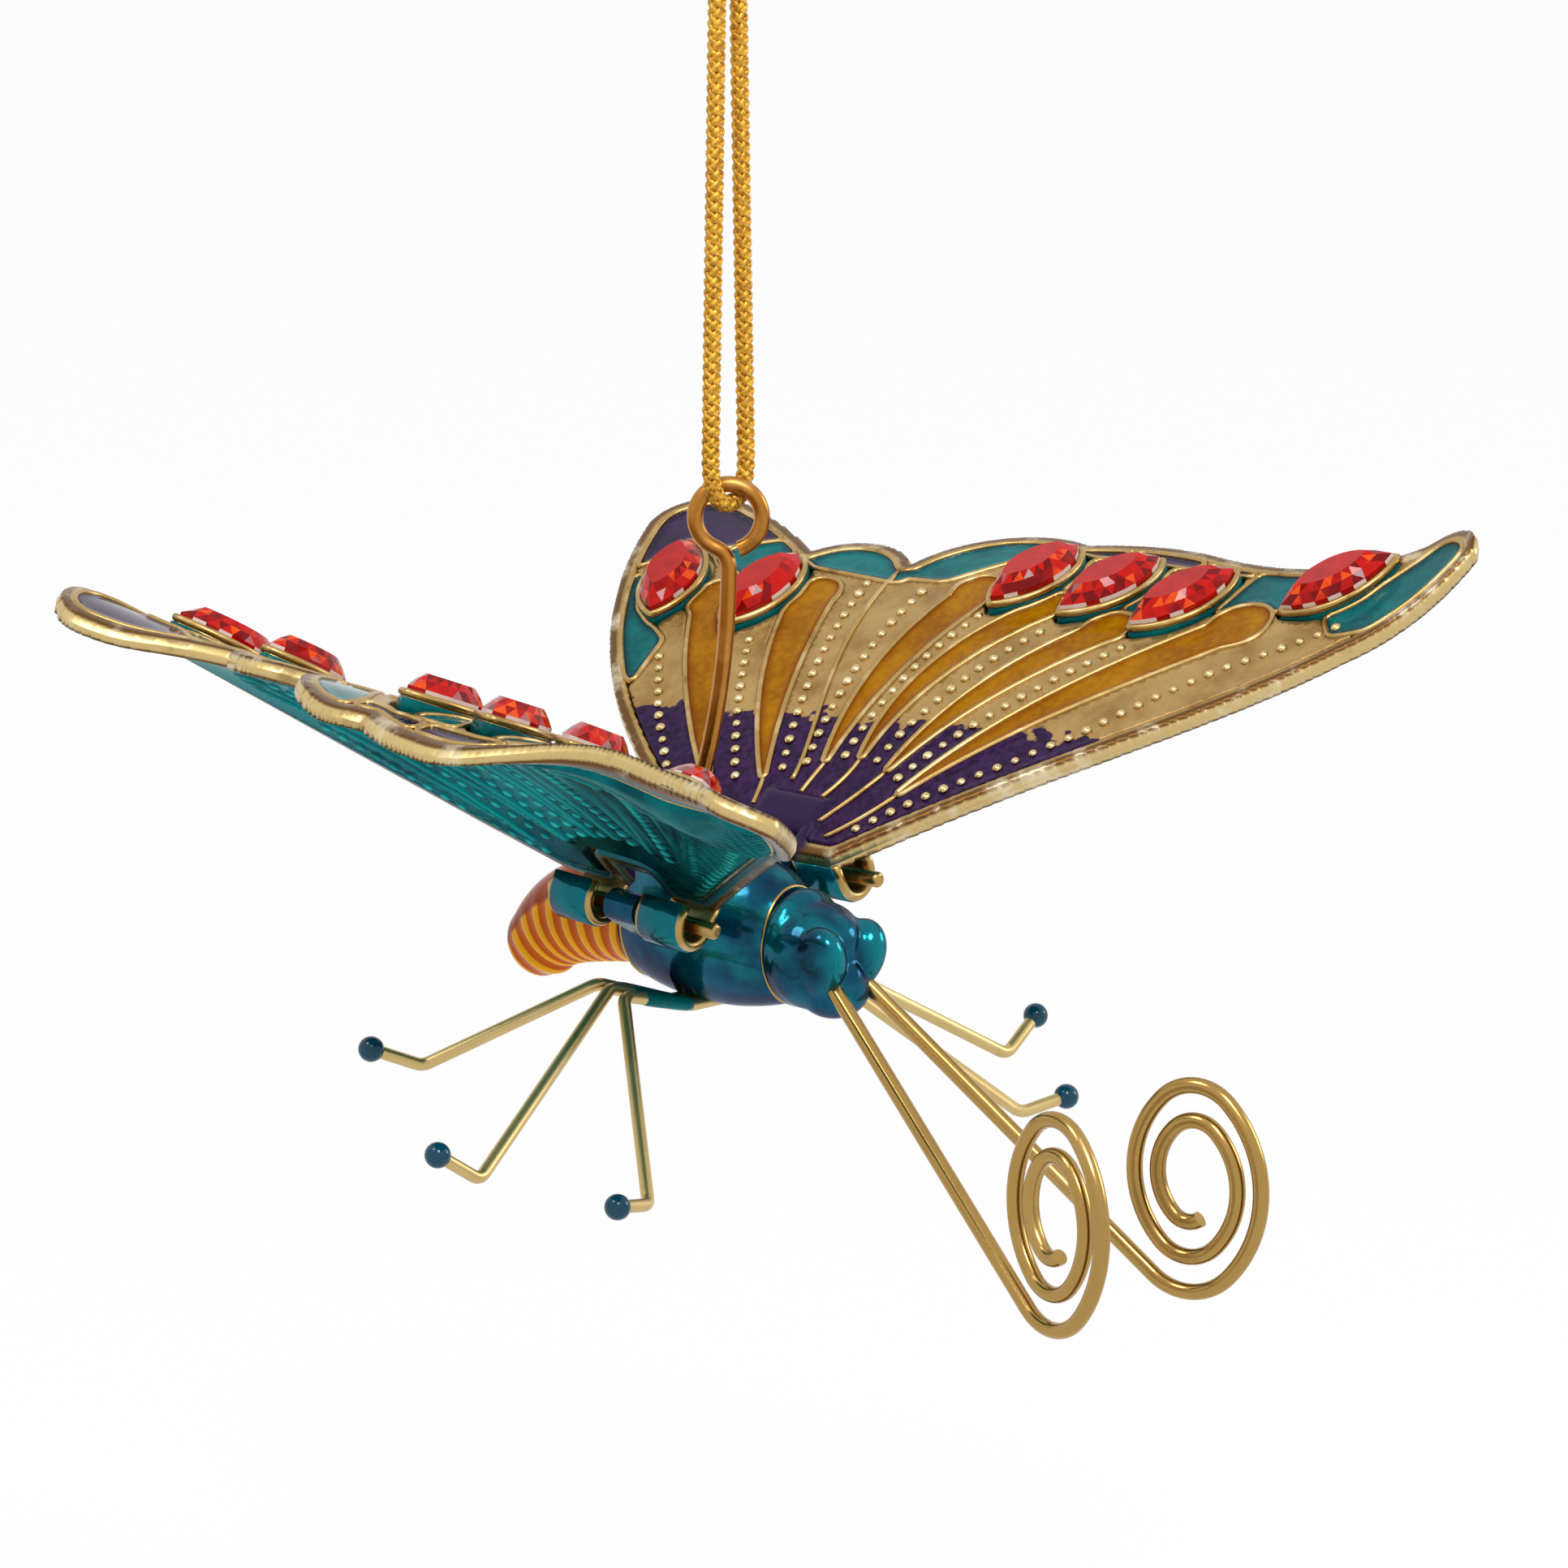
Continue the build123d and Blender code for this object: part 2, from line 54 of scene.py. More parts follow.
class Shade:
    # carries its finish's settings: limits, noise and colours go by their names there
    def __init__(self, tree, settings, socket=None):
        self.tree = tree
        self.settings = settings
        self.socket = socket

    def of(self, socket):
        return Shade(self.tree, self.settings, socket)

    def add(self, kind, options=None, inputs=None, out=0):
        node = self.tree.nodes.new(kind)
        for key, value in (options or {}).items():
            setattr(node, key, value)
        for key, value in (inputs or {}).items():
            socket = node.inputs[key]
            if isinstance(value, Shade):
                self.tree.links.new(value.socket, socket)
            elif hasattr(value, "__len__") and socket.type == "RGBA":
                socket.default_value = (*value[:3], 1.0)
            else:
                socket.default_value = value
        return self.of(node.outputs[out] if len(node.outputs) else None)

    def math(self, operation, first, second=0.0):
        return self.add("ShaderNodeMath", {"operation": operation}, {0: first, 1: second})

    def __add__(self, other):
        return self.math("ADD", self, other)

    __radd__ = __add__

    def __sub__(self, other):
        return self.math("SUBTRACT", self, other)

    def __rsub__(self, other):
        return self.math("SUBTRACT", other, self)

    def __mul__(self, other):
        return self.math("MULTIPLY", self, other)

    __rmul__ = __mul__

    def step(self, limits):
        low, high = self.settings[limits]
        inputs = {"Value": self, "From Min": low, "From Max": high}
        return self.add("ShaderNodeMapRange", {"interpolation_type": "SMOOTHSTEP"}, inputs)

    def mix(self, first, second):
        inputs = {"Factor": self, "A": first, "B": second}
        node = self.tree.nodes.new("ShaderNodeMix")
        node.data_type = "RGBA"
        for socket in node.inputs:
            if socket.enabled and socket.name in inputs:
                value = inputs[socket.name]
                if isinstance(value, Shade):
                    self.tree.links.new(value.socket, socket)
                else:
                    socket.default_value = (*self.settings[value], 1.0)
        return self.of([s for s in node.outputs if s.enabled][0])

    def noise(self, kind):
        place = self.add("ShaderNodeTexCoord", {}, {}, "Object")
        scale, detail, rough = self.settings[kind]
        inputs = {"Vector": place, "Scale": scale, "Detail": detail, "Roughness": rough}
        return self.add("ShaderNodeTexNoise", {}, inputs, "Fac")

    def attribute(self, name):
        return self.add("ShaderNodeAttribute", {"attribute_name": name}, {}, "Fac")

    def bump(self, height, strength, distance):
        inputs = {"Height": height, "Strength": strength, "Distance": distance}
        return self.add("ShaderNodeBump", {}, inputs)

    def seen(self):
        path = self.tree.nodes.new("ShaderNodeLightPath")
        ray = self.of(path.outputs["Is Camera Ray"])
        for kind in ("Is Glossy Ray", "Is Transmission Ray"):
            ray = ray.math("MAXIMUM", ray, self.of(path.outputs[kind]))
        return ray


def linear(red, green, blue):
    def channel(value):
        value /= 255.0
        return value / 12.92 if value <= 0.04045 else ((value + 0.055) / 1.055) ** 2.4
    return (channel(red), channel(green), channel(blue))


constantSockets = {
    "metallic": "Metallic", "gloss": "Specular IOR Level", "tint": "Specular Tint",
    "coat": "Coat Weight", "coatRoughness": "Coat Roughness",
}


def newMaterial(name, settings):
    material = bpy.data.materials.new(name)
    material.use_nodes = True
    material.node_tree.nodes.clear()
    return material, Shade(material.node_tree, settings)


def makeMaterial(name, look, settings):
    material, shade = newMaterial(name, settings)
    cloud = shade.noise("cloud")
    fine = shade.noise("fine") if "fine" in settings else cloud
    colour, more = look(shade, cloud, fine, settings)
    rough, dull = settings["roughness"]
    sockets = {"Base Color": colour, "Roughness": rough + cloud * dull}
    sockets.update({socket: settings[key] for key, socket in constantSockets.items() if key in settings})
    if settings.get("bump"):
        broad, small = settings.get("relief", (1.0, 0.0))
        height = cloud * broad + fine * small if small else cloud
        sockets["Normal"] = shade.bump(height, settings["bump"], settings["depth"])
    surface = shade.add("ShaderNodeBsdfPrincipled", {}, {**sockets, **more})
    shade.add("ShaderNodeOutputMaterial", {}, {"Surface": surface})
    return material


# Finishes: colours, noise as (scale, detail, roughness), the limits of each blend

def grain(scale):
    return {"cloud": (scale, 5.0, 0.62), "fine": (scale * 6.0, 3.0, 0.5)}


goldFinish = {
    "base": linear(178, 146, 88), "pale": linear(216, 196, 148), "brown": linear(104, 70, 32),
    "wear": 0.55, "rubbed": (0.5, 0.66), "tarnished": (0.58, 0.72),
    "metallic": 1.0, "roughness": (0.24, 0.16), "dulled": (0.35, 0.75), "grit": 0.06,
    "relief": (0.7, 0.3), "bump": 0.2, "depth": 0.0002, **grain(420.0),
}
wireFinish = dict(
    goldFinish, base=linear(172, 138, 78), pale=linear(198, 170, 112), brown=linear(120, 84, 40),
    wear=0.3, roughness=(0.15, 0.08), bump=0.0, **grain(90.0),
)
legFinish = dict(
    wireFinish, base=linear(206, 180, 122), pale=linear(228, 210, 162), brown=linear(150, 116, 66),
    roughness=(0.34, 0.08),
)
beadFinish = dict(
    goldFinish, base=linear(206, 182, 128), pale=linear(232, 220, 186), brown=linear(150, 112, 60),
    roughness=(0.16, 0.16),
)
stemFinish = dict(
    goldFinish, base=linear(176, 120, 52), pale=linear(204, 156, 90), brown=linear(96, 52, 18),
    bump=0.1, **grain(260.0),
)


def goldLook(shade, cloud, fine, settings):
    rubbed = cloud.step("rubbed") * settings["wear"]
    tarnish = (1 - cloud).step("tarnished") * settings["wear"]
    rough, dull = settings["roughness"]
    dulled = rough + cloud.step("dulled") * dull + fine * settings["grit"]
    return tarnish.mix(rubbed.mix("base", "pale"), "brown"), {"Roughness": dulled}


# each enamel's edge, deep and light colour, its streaks and its gloss
enamels = {
    "amber": ((134, 70, 0), (140, 82, 0), (178, 120, 0), 0.25, 0.04),
    "teal": ((0, 58, 68), (0, 84, 90), (0, 118, 120), 0.2, 0.07),
    "purple": ((16, 4, 28), (28, 10, 46), (52, 24, 74), 0.2, 0.14),
    "foot": ((4, 62, 84), (4, 56, 80), (14, 104, 120), 0.2, 0.3),
}


def enamelFinish(edge, deep, light, streak, gloss):
    return {
        "edge": linear(*edge), "deep": linear(*deep), "light": linear(*light),
        "streak": streak, "gloss": gloss,
        "cloud": (240.0, 4.0, 0.6), "fine": (1920.0, 2.0, 0.5), "cloudy": (0.3, 0.7),
        "border": (0.15, 0.75), "borderCloud": 0.4, "roughness": (0.07, 0.05), "bump": 0.1, "depth": 0.0003,
    }


def enamelLook(shade, cloud, fine, settings):
    smooth = cloud.step("cloudy") * (1 - settings["streak"])
    depth = smooth + fine.step("cloudy") * settings["streak"]
    middle = (shade.attribute("gap") + cloud * settings["borderCloud"]).step("border")
    rough, grit = settings["roughness"]
    return middle.mix("edge", depth.mix("deep", "light")), {"Roughness": rough + fine * grit}


laneFinish = {
    "champagne": linear(182, 150, 94), "shade": linear(148, 112, 60),
    "purple": linear(58, 26, 78), "purpleDeep": linear(32, 10, 46),
    "cloud": (300.0, 5.0, 0.62), "fine": (2100.0, 2.0, 0.5), "tear": (620.0, 2.0, 0.5),
    "ragged": 4.5, "border": (-0.12, 0.12), "cloudy": (0.25, 0.65), "speckled": (0.3, 0.7),
    "bareMetallic": 0.6, "roughness": (0.28, 0.12), "wet": 0.1, "gloss": 0.1,
    "relief": (0.6, 0.4), "bump": 0.35, "depth": 0.0003,
}


def laneLook(shade, cloud, fine, settings):
    torn = (shade.noise("tear") - 0.5) * settings["ragged"]
    root = 1 - (shade.attribute("outward") + torn).step("border")
    bare = cloud.step("cloudy").mix("shade", "champagne")
    dark = fine.step("speckled").mix("purpleDeep", "purple")
    rough, dull = settings["roughness"]
    return root.mix(bare, dark), {
        "Metallic": settings["bareMetallic"] - root * settings["bareMetallic"],
        "Roughness": rough + cloud * dull - root * settings["wet"],
    }


# the two pale teals below are painted highlights on the pressed ridges and bead dots of the underside
backFinish = {
    "deep": linear(4, 70, 80), "teal": linear(10, 122, 126), "crestHighlight": linear(40, 162, 158),
    "spot": linear(84, 190, 180), "tint": linear(40, 180, 184),
    "cloud": (200.0, 5.0, 0.6), "cloudy": (0.3, 0.7),
    "ridge": (0.3, 0.95), "ridgeShare": (0.45, 0.5), "dotHighlights": (0.35, 0.8), "dotHighlightCloud": (0.2, 0.75),
    "metallic": 0.85, "roughness": (0.2, 0.08), "gloss": 0.1, "bump": 0.15, "depth": 0.0003,
}


def backLook(shade, cloud, fine, settings):
    ground = cloud.step("cloudy").mix("deep", "teal")
    least, more = settings["ridgeShare"]
    # painted highlights: ridges and bead dots lightened where light would catch their relief
    crestHighlight = shade.attribute("relief").step("ridge") * (least + cloud * more)
    dotHighlights = shade.attribute("dots").step("dotHighlights") * cloud.step("dotHighlightCloud")
    return dotHighlights.mix(crestHighlight.mix(ground, "crestHighlight"), "spot"), {}


# red stone: its dark, orange and pale facets are painted shade, painted glints and a painted reflection
stoneFinish = {
    "deep": linear(120, 2, 4), "red": linear(200, 16, 8), "glint": linear(238, 84, 20),
    "reflection": linear(226, 206, 200), "cloud": (900.0, 2.0, 0.5),
    "body": (0.1, 0.75), "bodyCloud": 0.5, "glints": (0.84, 0.98), "glintCloud": 0.4, "reflections": (0.3, 0.7),
    "roughness": (0.03, 0.04), "gloss": 0.17,
}


def stoneLook(shade, cloud, fine, settings):
    facet = shade.attribute("facet")
    # painted shade and light: random facets range from dark red to red
    body = (facet + (cloud - 0.5) * settings["bodyCloud"]).step("body")
    # painted glints: the brightest facets turn orange
    glint = (facet + (cloud - 0.5) * settings["glintCloud"]).step("glints")
    # painted reflection: the chosen girdle facets turn pale
    return (0 - facet).step("reflections").mix(glint.mix(body.mix("deep", "red"), "glint"), "reflection"), {}


bodyFinish = {
    "night": linear(4, 40, 60), "blue": linear(8, 82, 112), "teal": linear(10, 140, 146),
    "tint": linear(20, 120, 150),
    "cloud": (260.0, 4.0, 0.6), "sheen": (390.0, 2.0, 0.5), "fine": (2340.0, 2.0, 0.5),
    "cloudy": (0.2, 0.8), "sheens": (0.4, 0.8), "sheenShare": 0.55,
    "metallic": 0.7, "roughness": (0.13, 0.06), "gloss": 0.3, "coat": 0.18, "coatRoughness": 0.02,
    "bump": 0.2, "depth": 0.0004,
}


def bodyLook(shade, cloud, fine, settings):
    sheen = shade.noise("sheen").step("sheens") * settings["sheenShare"]
    # dome paints a highlight: teal over the upper eye domes and over all hook enamel
    lit = shade.attribute("dome").mix(cloud.step("cloudy").mix("night", "blue"), "teal")
    rough, grit = settings["roughness"]
    return sheen.mix(lit, "teal"), {"Roughness": rough + fine * grit}


abdomenFinish = {
    "brown": linear(142, 56, 8), "orange": linear(192, 86, 4), "yellow": linear(236, 164, 10),
    "cloud": (320.0, 4.0, 0.6),
    "ribs": (0.45, 0.75), "ribCloud": 0.3, "flanks": (0.35, 0.6), "flankCloud": 0.25,
    "roughness": (0.16, 0.08), "gloss": 0.1, "bump": 0.12, "depth": 0.0003,
}


def abdomenLook(shade, cloud, fine, settings):
    rib = shade.attribute("rib") + (cloud - 0.5) * settings["ribCloud"]
    flank = shade.attribute("flank") + (cloud - 0.5) * settings["flankCloud"]
    return flank.step("flanks").mix("brown", rib.step("ribs").mix("orange", "yellow")), {}


cordFinish = {
    "gold": linear(230, 180, 62), "dark": linear(176, 122, 34),
    "cloud": (2600.0, 3.0, 0.6), "threads": (0.3, 0.7),
    "metallic": 0.65, "roughness": (0.3, 0.25), "bump": 0.5, "depth": 0.0001,
}


def cordLook(shade, cloud, fine, settings):
    return cloud.step("threads").mix("dark", "gold"), {}


rimFinish = {
    "bright": linear(206, 180, 122), "worn": linear(232, 218, 184), "gold": linear(178, 146, 88),
    "brown": linear(108, 76, 40), "teal": linear(0, 92, 104), "purple": linear(40, 18, 62),
    "cloud": (300.0, 4.0, 0.6), "fine": (1800.0, 3.0, 0.5), "tierCloud": 0.3,
    "side": (0.55, 0.85), "crown": (1.0, 1.4), "under": (0.95, 1.25), "root": (0.3, 0.7),
    "wear": (0.52, 0.7), "wearShare": 0.7, "stain": (0.56, 0.72), "stainShare": 0.55,
    "bareMetallic": 0.95, "enamelled": (0.6, 0.8), "roughness": (0.24, 0.16), "gloss": 0.15,
    "relief": (0.7, 0.3), "bump": 0.2, "depth": 0.0003,
}


def rimLook(shade, cloud, fine, settings):
    tier = shade.attribute("tier") + (cloud - 0.5) * settings["tierCloud"]
    under = shade.attribute("under") * tier.step("under")
    root = shade.attribute("root").step("root")
    crown = tier.step("crown").mix(tier.step("side").mix("bright", "brown"), "gold")
    worn = (cloud.step("wear") * settings["wearShare"]).mix(crown, "worn")
    stained = ((1 - cloud).step("stain") * settings["stainShare"]).mix(worn, "brown")
    underShare, rootShare = settings["enamelled"]
    metallic = settings["bareMetallic"] - under * underShare - root * rootShare
    return root.mix(under.mix(stained, "teal"), "purple"), {"Metallic": metallic}


materials = {key: makeMaterial(*parts) for key, parts in {
    "gold": ("wornGold", goldLook, goldFinish),
    "wire": ("goldWire", goldLook, wireFinish),
    "leg": ("paleWire", goldLook, legFinish),
    "rim": ("rimGold", rimLook, rimFinish),
    "stem": ("bronzeWire", goldLook, stemFinish),
    "bead": ("paleBeads", goldLook, beadFinish),
    **{name: (name + "Enamel", enamelLook, enamelFinish(*values)) for name, values in enamels.items()},
    "lane": ("laneEnamel", laneLook, laneFinish),
    "back": ("backEnamel", backLook, backFinish),
    "stone": ("redStone", stoneLook, stoneFinish),
    "body": ("bodyEnamel", bodyLook, bodyFinish),
    "abdomen": ("abdomenEnamel", abdomenLook, abdomenFinish),
    "cord": ("goldBraid", cordLook, cordFinish),
}.items()}
print("finishes made:", len(materials))


# Mesh helpers

def linked(name, data):
    made = bpy.data.objects.new(name, data)
    bpy.context.scene.collection.objects.link(made)
    return made


def newPiece(name, verts, faces, finish, slot, body, nodes=(), fields=None, smooth=True):
    mesh = bpy.data.meshes.new(name)
    mesh.from_pydata([tuple(v) for v in verts], [], [tuple(int(i) for i in f) for f in faces])
    mesh.validate()
    mesh.polygons.foreach_set("use_smooth", [smooth] * len(mesh.polygons))
    for key, values in (fields or {}).items():
        if np.isscalar(values):
            values = np.full(len(mesh.vertices), values)
        perFace = len(values) == len(mesh.polygons) and len(values) != len(mesh.vertices)
        field = mesh.attributes.new(key, "FLOAT", "FACE" if perFace else "POINT")
        field.data.foreach_set("value", np.asarray(values, dtype=np.float32))
    mesh.materials.append(materials[finish])
    piece = linked(name, mesh)
    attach(piece, body)
    if nodes:
        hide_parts(*nodes)
    return piece


class Stock:
    # vertices and faces gathered for one piece
    def __init__(self):
        self.verts = []
        self.faces = []

    def put(self, verts, faces):
        start = len(self.verts)
        self.verts.extend([tuple(v) for v in verts])
        self.faces.extend([tuple(int(i) + start for i in f) for f in faces])


def ringFaces(rings, count, closed=False):
    faces = []
    for i in range(rings if closed else rings - 1):
        j = (i + 1) % rings
        for k in range(count):
            m = (k + 1) % count
            faces.append((i * count + k, i * count + m, j * count + m, j * count + k))
    return faces


def capFaces(rings, count):
    return [tuple(range(count))[::-1], tuple((rings - 1) * count + k for k in range(count))]


def flipped(faces):
    return [(face[0], *face[:0:-1]) for face in faces]


def unit(vectors):
    return vectors / (np.linalg.norm(vectors, axis=1)[:, None] + 1e-12)


def tube(points, radius, sides=8, closed=False, up=(0, 0, 1)):
    points = np.asarray(points, dtype=float)
    count = len(points)
    if closed:
        heading = unit(np.roll(points, -1, 0) - np.roll(points, 1, 0))
    else:
        heading = unit(np.gradient(points, axis=0))
    up = np.broadcast_to(np.asarray(up, dtype=float), points.shape)
    across = unit(np.cross(heading, up))
    lift = np.cross(across, heading)
    radius = np.broadcast_to(np.asarray(radius, dtype=float), (count,))
    turn = np.arange(sides) * 2 * pi / sides
    ring = across[:, None] * np.cos(turn)[None, :, None] + lift[:, None] * np.sin(turn)[None, :, None]
    verts = (points[:, None] + ring * radius[:, None, None]).reshape(-1, 3)
    return verts, ringFaces(count, sides, closed) + ([] if closed else capFaces(count, sides))


def arcThrough(start, through, end, step):
    (ax, ay), (bx, by), (cx, cy) = start, through, end
    a, b, c = ax**2 + ay**2, bx**2 + by**2, cx**2 + cy**2
    d = 2 * (ax * (by - cy) + bx * (cy - ay) + cx * (ay - by))
    ux = (a * (by - cy) + b * (cy - ay) + c * (ay - by)) / d
    uy = (a * (cx - bx) + b * (ax - cx) + c * (bx - ax)) / d
    radius = hypot(ax - ux, ay - uy)
    first = np.arctan2(ay - uy, ax - ux)
    middle = (np.arctan2(by - uy, bx - ux) - first) % (2 * pi)
    last = (np.arctan2(cy - uy, cx - ux) - first) % (2 * pi)
    if middle > last:
        last -= 2 * pi
    count = max(2, int(ceil(abs(last) * radius / step)))
    turn = first + last * np.arange(count) / count
    return np.stack([ux + radius * np.cos(turn), uy + radius * np.sin(turn)], 1)


def evenly(points, step, closed=True):
    points = np.asarray(points, dtype=float)
    if closed:
        points = np.vstack([points, points[:1]])
    run = np.concatenate([[0], np.cumsum(np.linalg.norm(np.diff(points, axis=0), axis=1))])
    count = max(3, int(round(run[-1] / step)))
    at = np.linspace(0, run[-1], count + (0 if closed else 1), endpoint=not closed)
    return np.stack([np.interp(at, run, points[:, k]) for k in range(points.shape[1])], 1)


def rounded(points, step, passes=2):
    points = evenly(points, step)
    for _ in range(passes):
        points = (np.roll(points, 1, 0) + 2 * points + np.roll(points, -1, 0)) / 4
    return points


def nearest(points, loops, batch=4000):
    best = np.full(len(points), 1e9)
    for loop in loops:
        run = np.roll(loop, -1, 0) - loop
        size = (run**2).sum(1) + 1e-12
        for first in range(0, len(points), batch):
            part = slice(first, first + batch)
            p = points[part, None]
            t = np.clip(((p - loop) * run).sum(2) / size, 0, 1)
            gap = p - (loop + t[..., None] * run)
            best[part] = np.minimum(best[part], np.sqrt((gap**2).sum(2)).min(1))
    return best


def inside(points, loops):
    odd = np.zeros(len(points), dtype=bool)
    for loop in loops:
        for (ax, ay), (bx, by) in zip(loop, np.roll(loop, -1, 0)):
            if ay == by:
                continue
            crosses = (points[:, 1] < ay) != (points[:, 1] < by)
            at = ax + (points[:, 1] - ay) * (bx - ax) / (by - ay)
            odd ^= crosses & (points[:, 0] < at)
    return odd


filling = {"rowPitch": 0.866, "edgeClear": 0.45, "merge": 1e-5}


def fillRegion(loops, step):
    every = np.vstack(loops)
    low, high = every.min(0), every.max(0)
    xs = np.arange(low[0], high[0], step)
    ys = np.arange(low[1], high[1], step * filling["rowPitch"])
    grid = np.array([(x + (row % 2) * step / 2, y) for row, y in enumerate(ys) for x in xs])
    grid = grid[inside(grid, loops)]
    if len(grid):
        grid = grid[nearest(grid, loops) > step * filling["edgeClear"]]
    edges = []
    start = 0
    for loop in loops:
        count = len(loop)
        edges += [(start + i, start + (i + 1) % count) for i in range(count)]
        start += count
    points = np.vstack([every, grid]) if len(grid) else every
    out = delaunay_2d_cdt([Vector(p) for p in points], edges, [], 0, filling["merge"])
    flat = np.array([tuple(v) for v in out[0]])
    faces = np.array([f for f in out[2] if len(f) == 3])
    faces = faces[inside(flat[faces].mean(1), loops)]
    used, renumbered = np.unique(faces, return_inverse=True)
    return flat[used], renumbered.reshape(-1, 3)


def closedSlab(flat, faces, top, bottom):
    count = len(flat)
    upper = np.column_stack([flat, top])
    lower = np.column_stack([flat, bottom])
    walls = {}
    for a, b, c in faces:
        for edge in ((a, b), (b, c), (c, a)):
            if (edge[1], edge[0]) in walls:
                del walls[(edge[1], edge[0])]
            else:
                walls[edge] = True
    out = [tuple(f) for f in faces] + [tuple(i + count for i in f[::-1]) for f in faces]
    out += [(b, a, a + count, b + count) for a, b in walls]
    return np.vstack([upper, lower]), out


# Wing form, the same values as the solids: x out from the root edge, y rearwards, millimetres

wing = {
    "frontRoot": (0.0, 0.0),
    "margin": [
        ((11.9, -13.0), (23.8, -24.2)), ((28.1, -27.9), (32.1, -29.8)), ((33.8, -28.6), (33.6, -24.9)),
        ((32.0, -16.6), (32.7, -8.0)), ((33.2, -2.8), (32.2, 2.7)), ((31.5, 9.1), (26.4, 13.0)),
        ((28.1, 17.0), (25.9, 21.1)), ((28.2, 25.5), (29.8, 30.1)), ((28.8, 33.9), (25.3, 35.0)),
        ((15.0, 30.0), (5.9, 21.2)), ((2.6, 16.5), (0.0, 11.6)),
    ],
    "notch": [(0.0, 7.1), (3.2, 7.1), (3.2, 3.7), (0.0, 3.7)],
    "thickness": 1.4,
    "rimMiddle": 0.55, "rimUp": 0.6, "rimDown": 0.6,
    "archRadius": 56.0, "archMiddle": 16.5, "archRise": 0.5,
    "reach": 33.8, "rearLimit": 40.0, "frontLimit": -34.0, "curlRun": 68.6, "lobeRun": 68.4, "bendPower": 6,
    "sag": 2.1, "sagPower": 3,
    "rodOut": 1.6, "rodBelow": 2.5, "rodRadius": 0.5,
    "hookGap": 0.5, "hookStrip": 0.6, "hookLip": 0.8, "hooks": [(-0.3, 3.5), (7.3, 10.9)],
}
sides = {
    "left": {"bends": (5.0, 1.5, 0.0), "height": -3.05, "noseDown": 1.0, "lift": 30.0, "mirror": 1.0},
    "right": {"bends": (-0.6, 2.8, 1.0), "height": -4.05, "noseDown": 4.4, "lift": 28.8, "mirror": -1.0},
}
hingeOut = 7.4

# the right wing's margin is bent in waves: (distance back, rise)
waves = {
    "rise": [
        (-34.0, 0.2), (-29.0, 0.1), (-27.0, 0.1), (-24.0, 1.0), (-21.0, 1.8), (-18.0, 2.4), (-15.0, 2.0),
        (-12.0, 0.5), (-10.0, -0.6), (-7.2, -1.6), (-5.1, -2.0), (1.0, -1.9), (4.7, -1.6), (9.4, -0.5),
        (14.6, -0.2), (20.6, -0.7), (27.2, -1.7), (32.0, -1.5), (40.0, -1.2),
    ],
    "edge": [(-34.0, 33.4), (4.0, 33.0), (13.0, 29.5), (21.0, 28.5), (40.0, 30.5)],
    "reach": 6.5, "most": 1.15, "samples": 297, "soft": 1.0, "softReach": 4.0, "softSteps": 16,
    "dish": {"at": (28.2, -20.8), "span": 6.5, "depth": 1.25},
}
waveAt = np.linspace(wing["frontLimit"], wing["rearLimit"], waves["samples"])
waveRise = np.interp(waveAt, *np.array(waves["rise"]).T)
waveSoft = np.linspace(-waves["softReach"], waves["softReach"], 2 * waves["softSteps"] + 1)
waveSoft = np.exp(-0.5 * (waveSoft / waves["soft"]) ** 2)
waveRise = np.convolve(np.pad(waveRise, waves["softSteps"], "edge"), waveSoft / waveSoft.sum(), "valid")


def marginWave(x, y):
    inward = np.interp(y, *np.array(waves["edge"]).T) - x
    dish = waves["dish"]
    off = ((x - dish["at"][0]) ** 2 + (y - dish["at"][1]) ** 2) / dish["span"] ** 2
    share = np.clip(1 - inward / waves["reach"], 0.0, waves["most"])
    return np.interp(y, waveAt, waveRise) * share**2 - dish["depth"] * np.exp(-off)


def wingHeight(x, y, bends):
    arch = wing["archRise"] - (x - wing["archMiddle"]) ** 2 / (2 * wing["archRadius"])
    out = x / wing["reach"]
    ahead = (wing["rearLimit"] - y) / wing["curlRun"]
    behind = (y - wing["frontLimit"]) / wing["lobeRun"]
    rise = bends[0] * ahead ** wing["bendPower"] + bends[1] * behind ** wing["bendPower"]
    skin = arch + rise * out**2 - wing["sag"] * 4 * (out - out**2) * ahead ** wing["sagPower"]
    return skin + bends[2] * marginWave(x, y)


rodHeight = wingHeight(0.0, 0.0, (0.0, 0.0, 0.0)) - wing["rodBelow"]


def wingMatrix(side):
    values = sides[side]
    place = Matrix.Translation((hingeOut, 0, values["height"]))
    place = place @ Matrix.Rotation(radians(values["noseDown"]), 4, "X")
    place = place @ Matrix.Rotation(radians(-values["lift"]), 4, "Y")
    place = place @ Matrix.Translation((-wing["rodOut"], 0, -rodHeight))
    return np.array(Matrix.Scale(values["mirror"], 4, (1, 0, 0)) @ place)


def toModel(side, points):
    points = np.asarray(points, dtype=float)
    matrix = wingMatrix(side)
    return fromDatum(points @ matrix[:3, :3].T + matrix[:3, 3])


def toWing(side, points):
    matrix = np.linalg.inv(wingMatrix(side))
    points = np.asarray(points) / mm + np.array([0.0, hang["back"], hang["drop"]])
    return points @ matrix[:3, :3].T + matrix[:3, 3]


def wingPiece(side, name, verts, faces, finish, slot, nodes=(), fields=None, smooth=True):
    if sides[side]["mirror"] < 0:
        faces = [tuple(f)[::-1] for f in faces]
    verts = toModel(side, verts)
    return newPiece(f"{side}_{name}", verts, faces, finish, slot, f"{side}_wing", nodes, fields, smooth)


# Cells of the casting, read from the enamel solids

cells = {
    "step": 0.3, "mergeScale": 500,
    "enamelTop": -0.12, "meniscus": 0.11, "meniscusRun": 0.25, "enamelFloor": -0.45,
    "wallRadius": 0.21, "wallLevel": -0.08, "wallOut": 0.17,
    "purpleFront": (13.0, -11.8), "purpleRear": (8.9, 24.0),
}


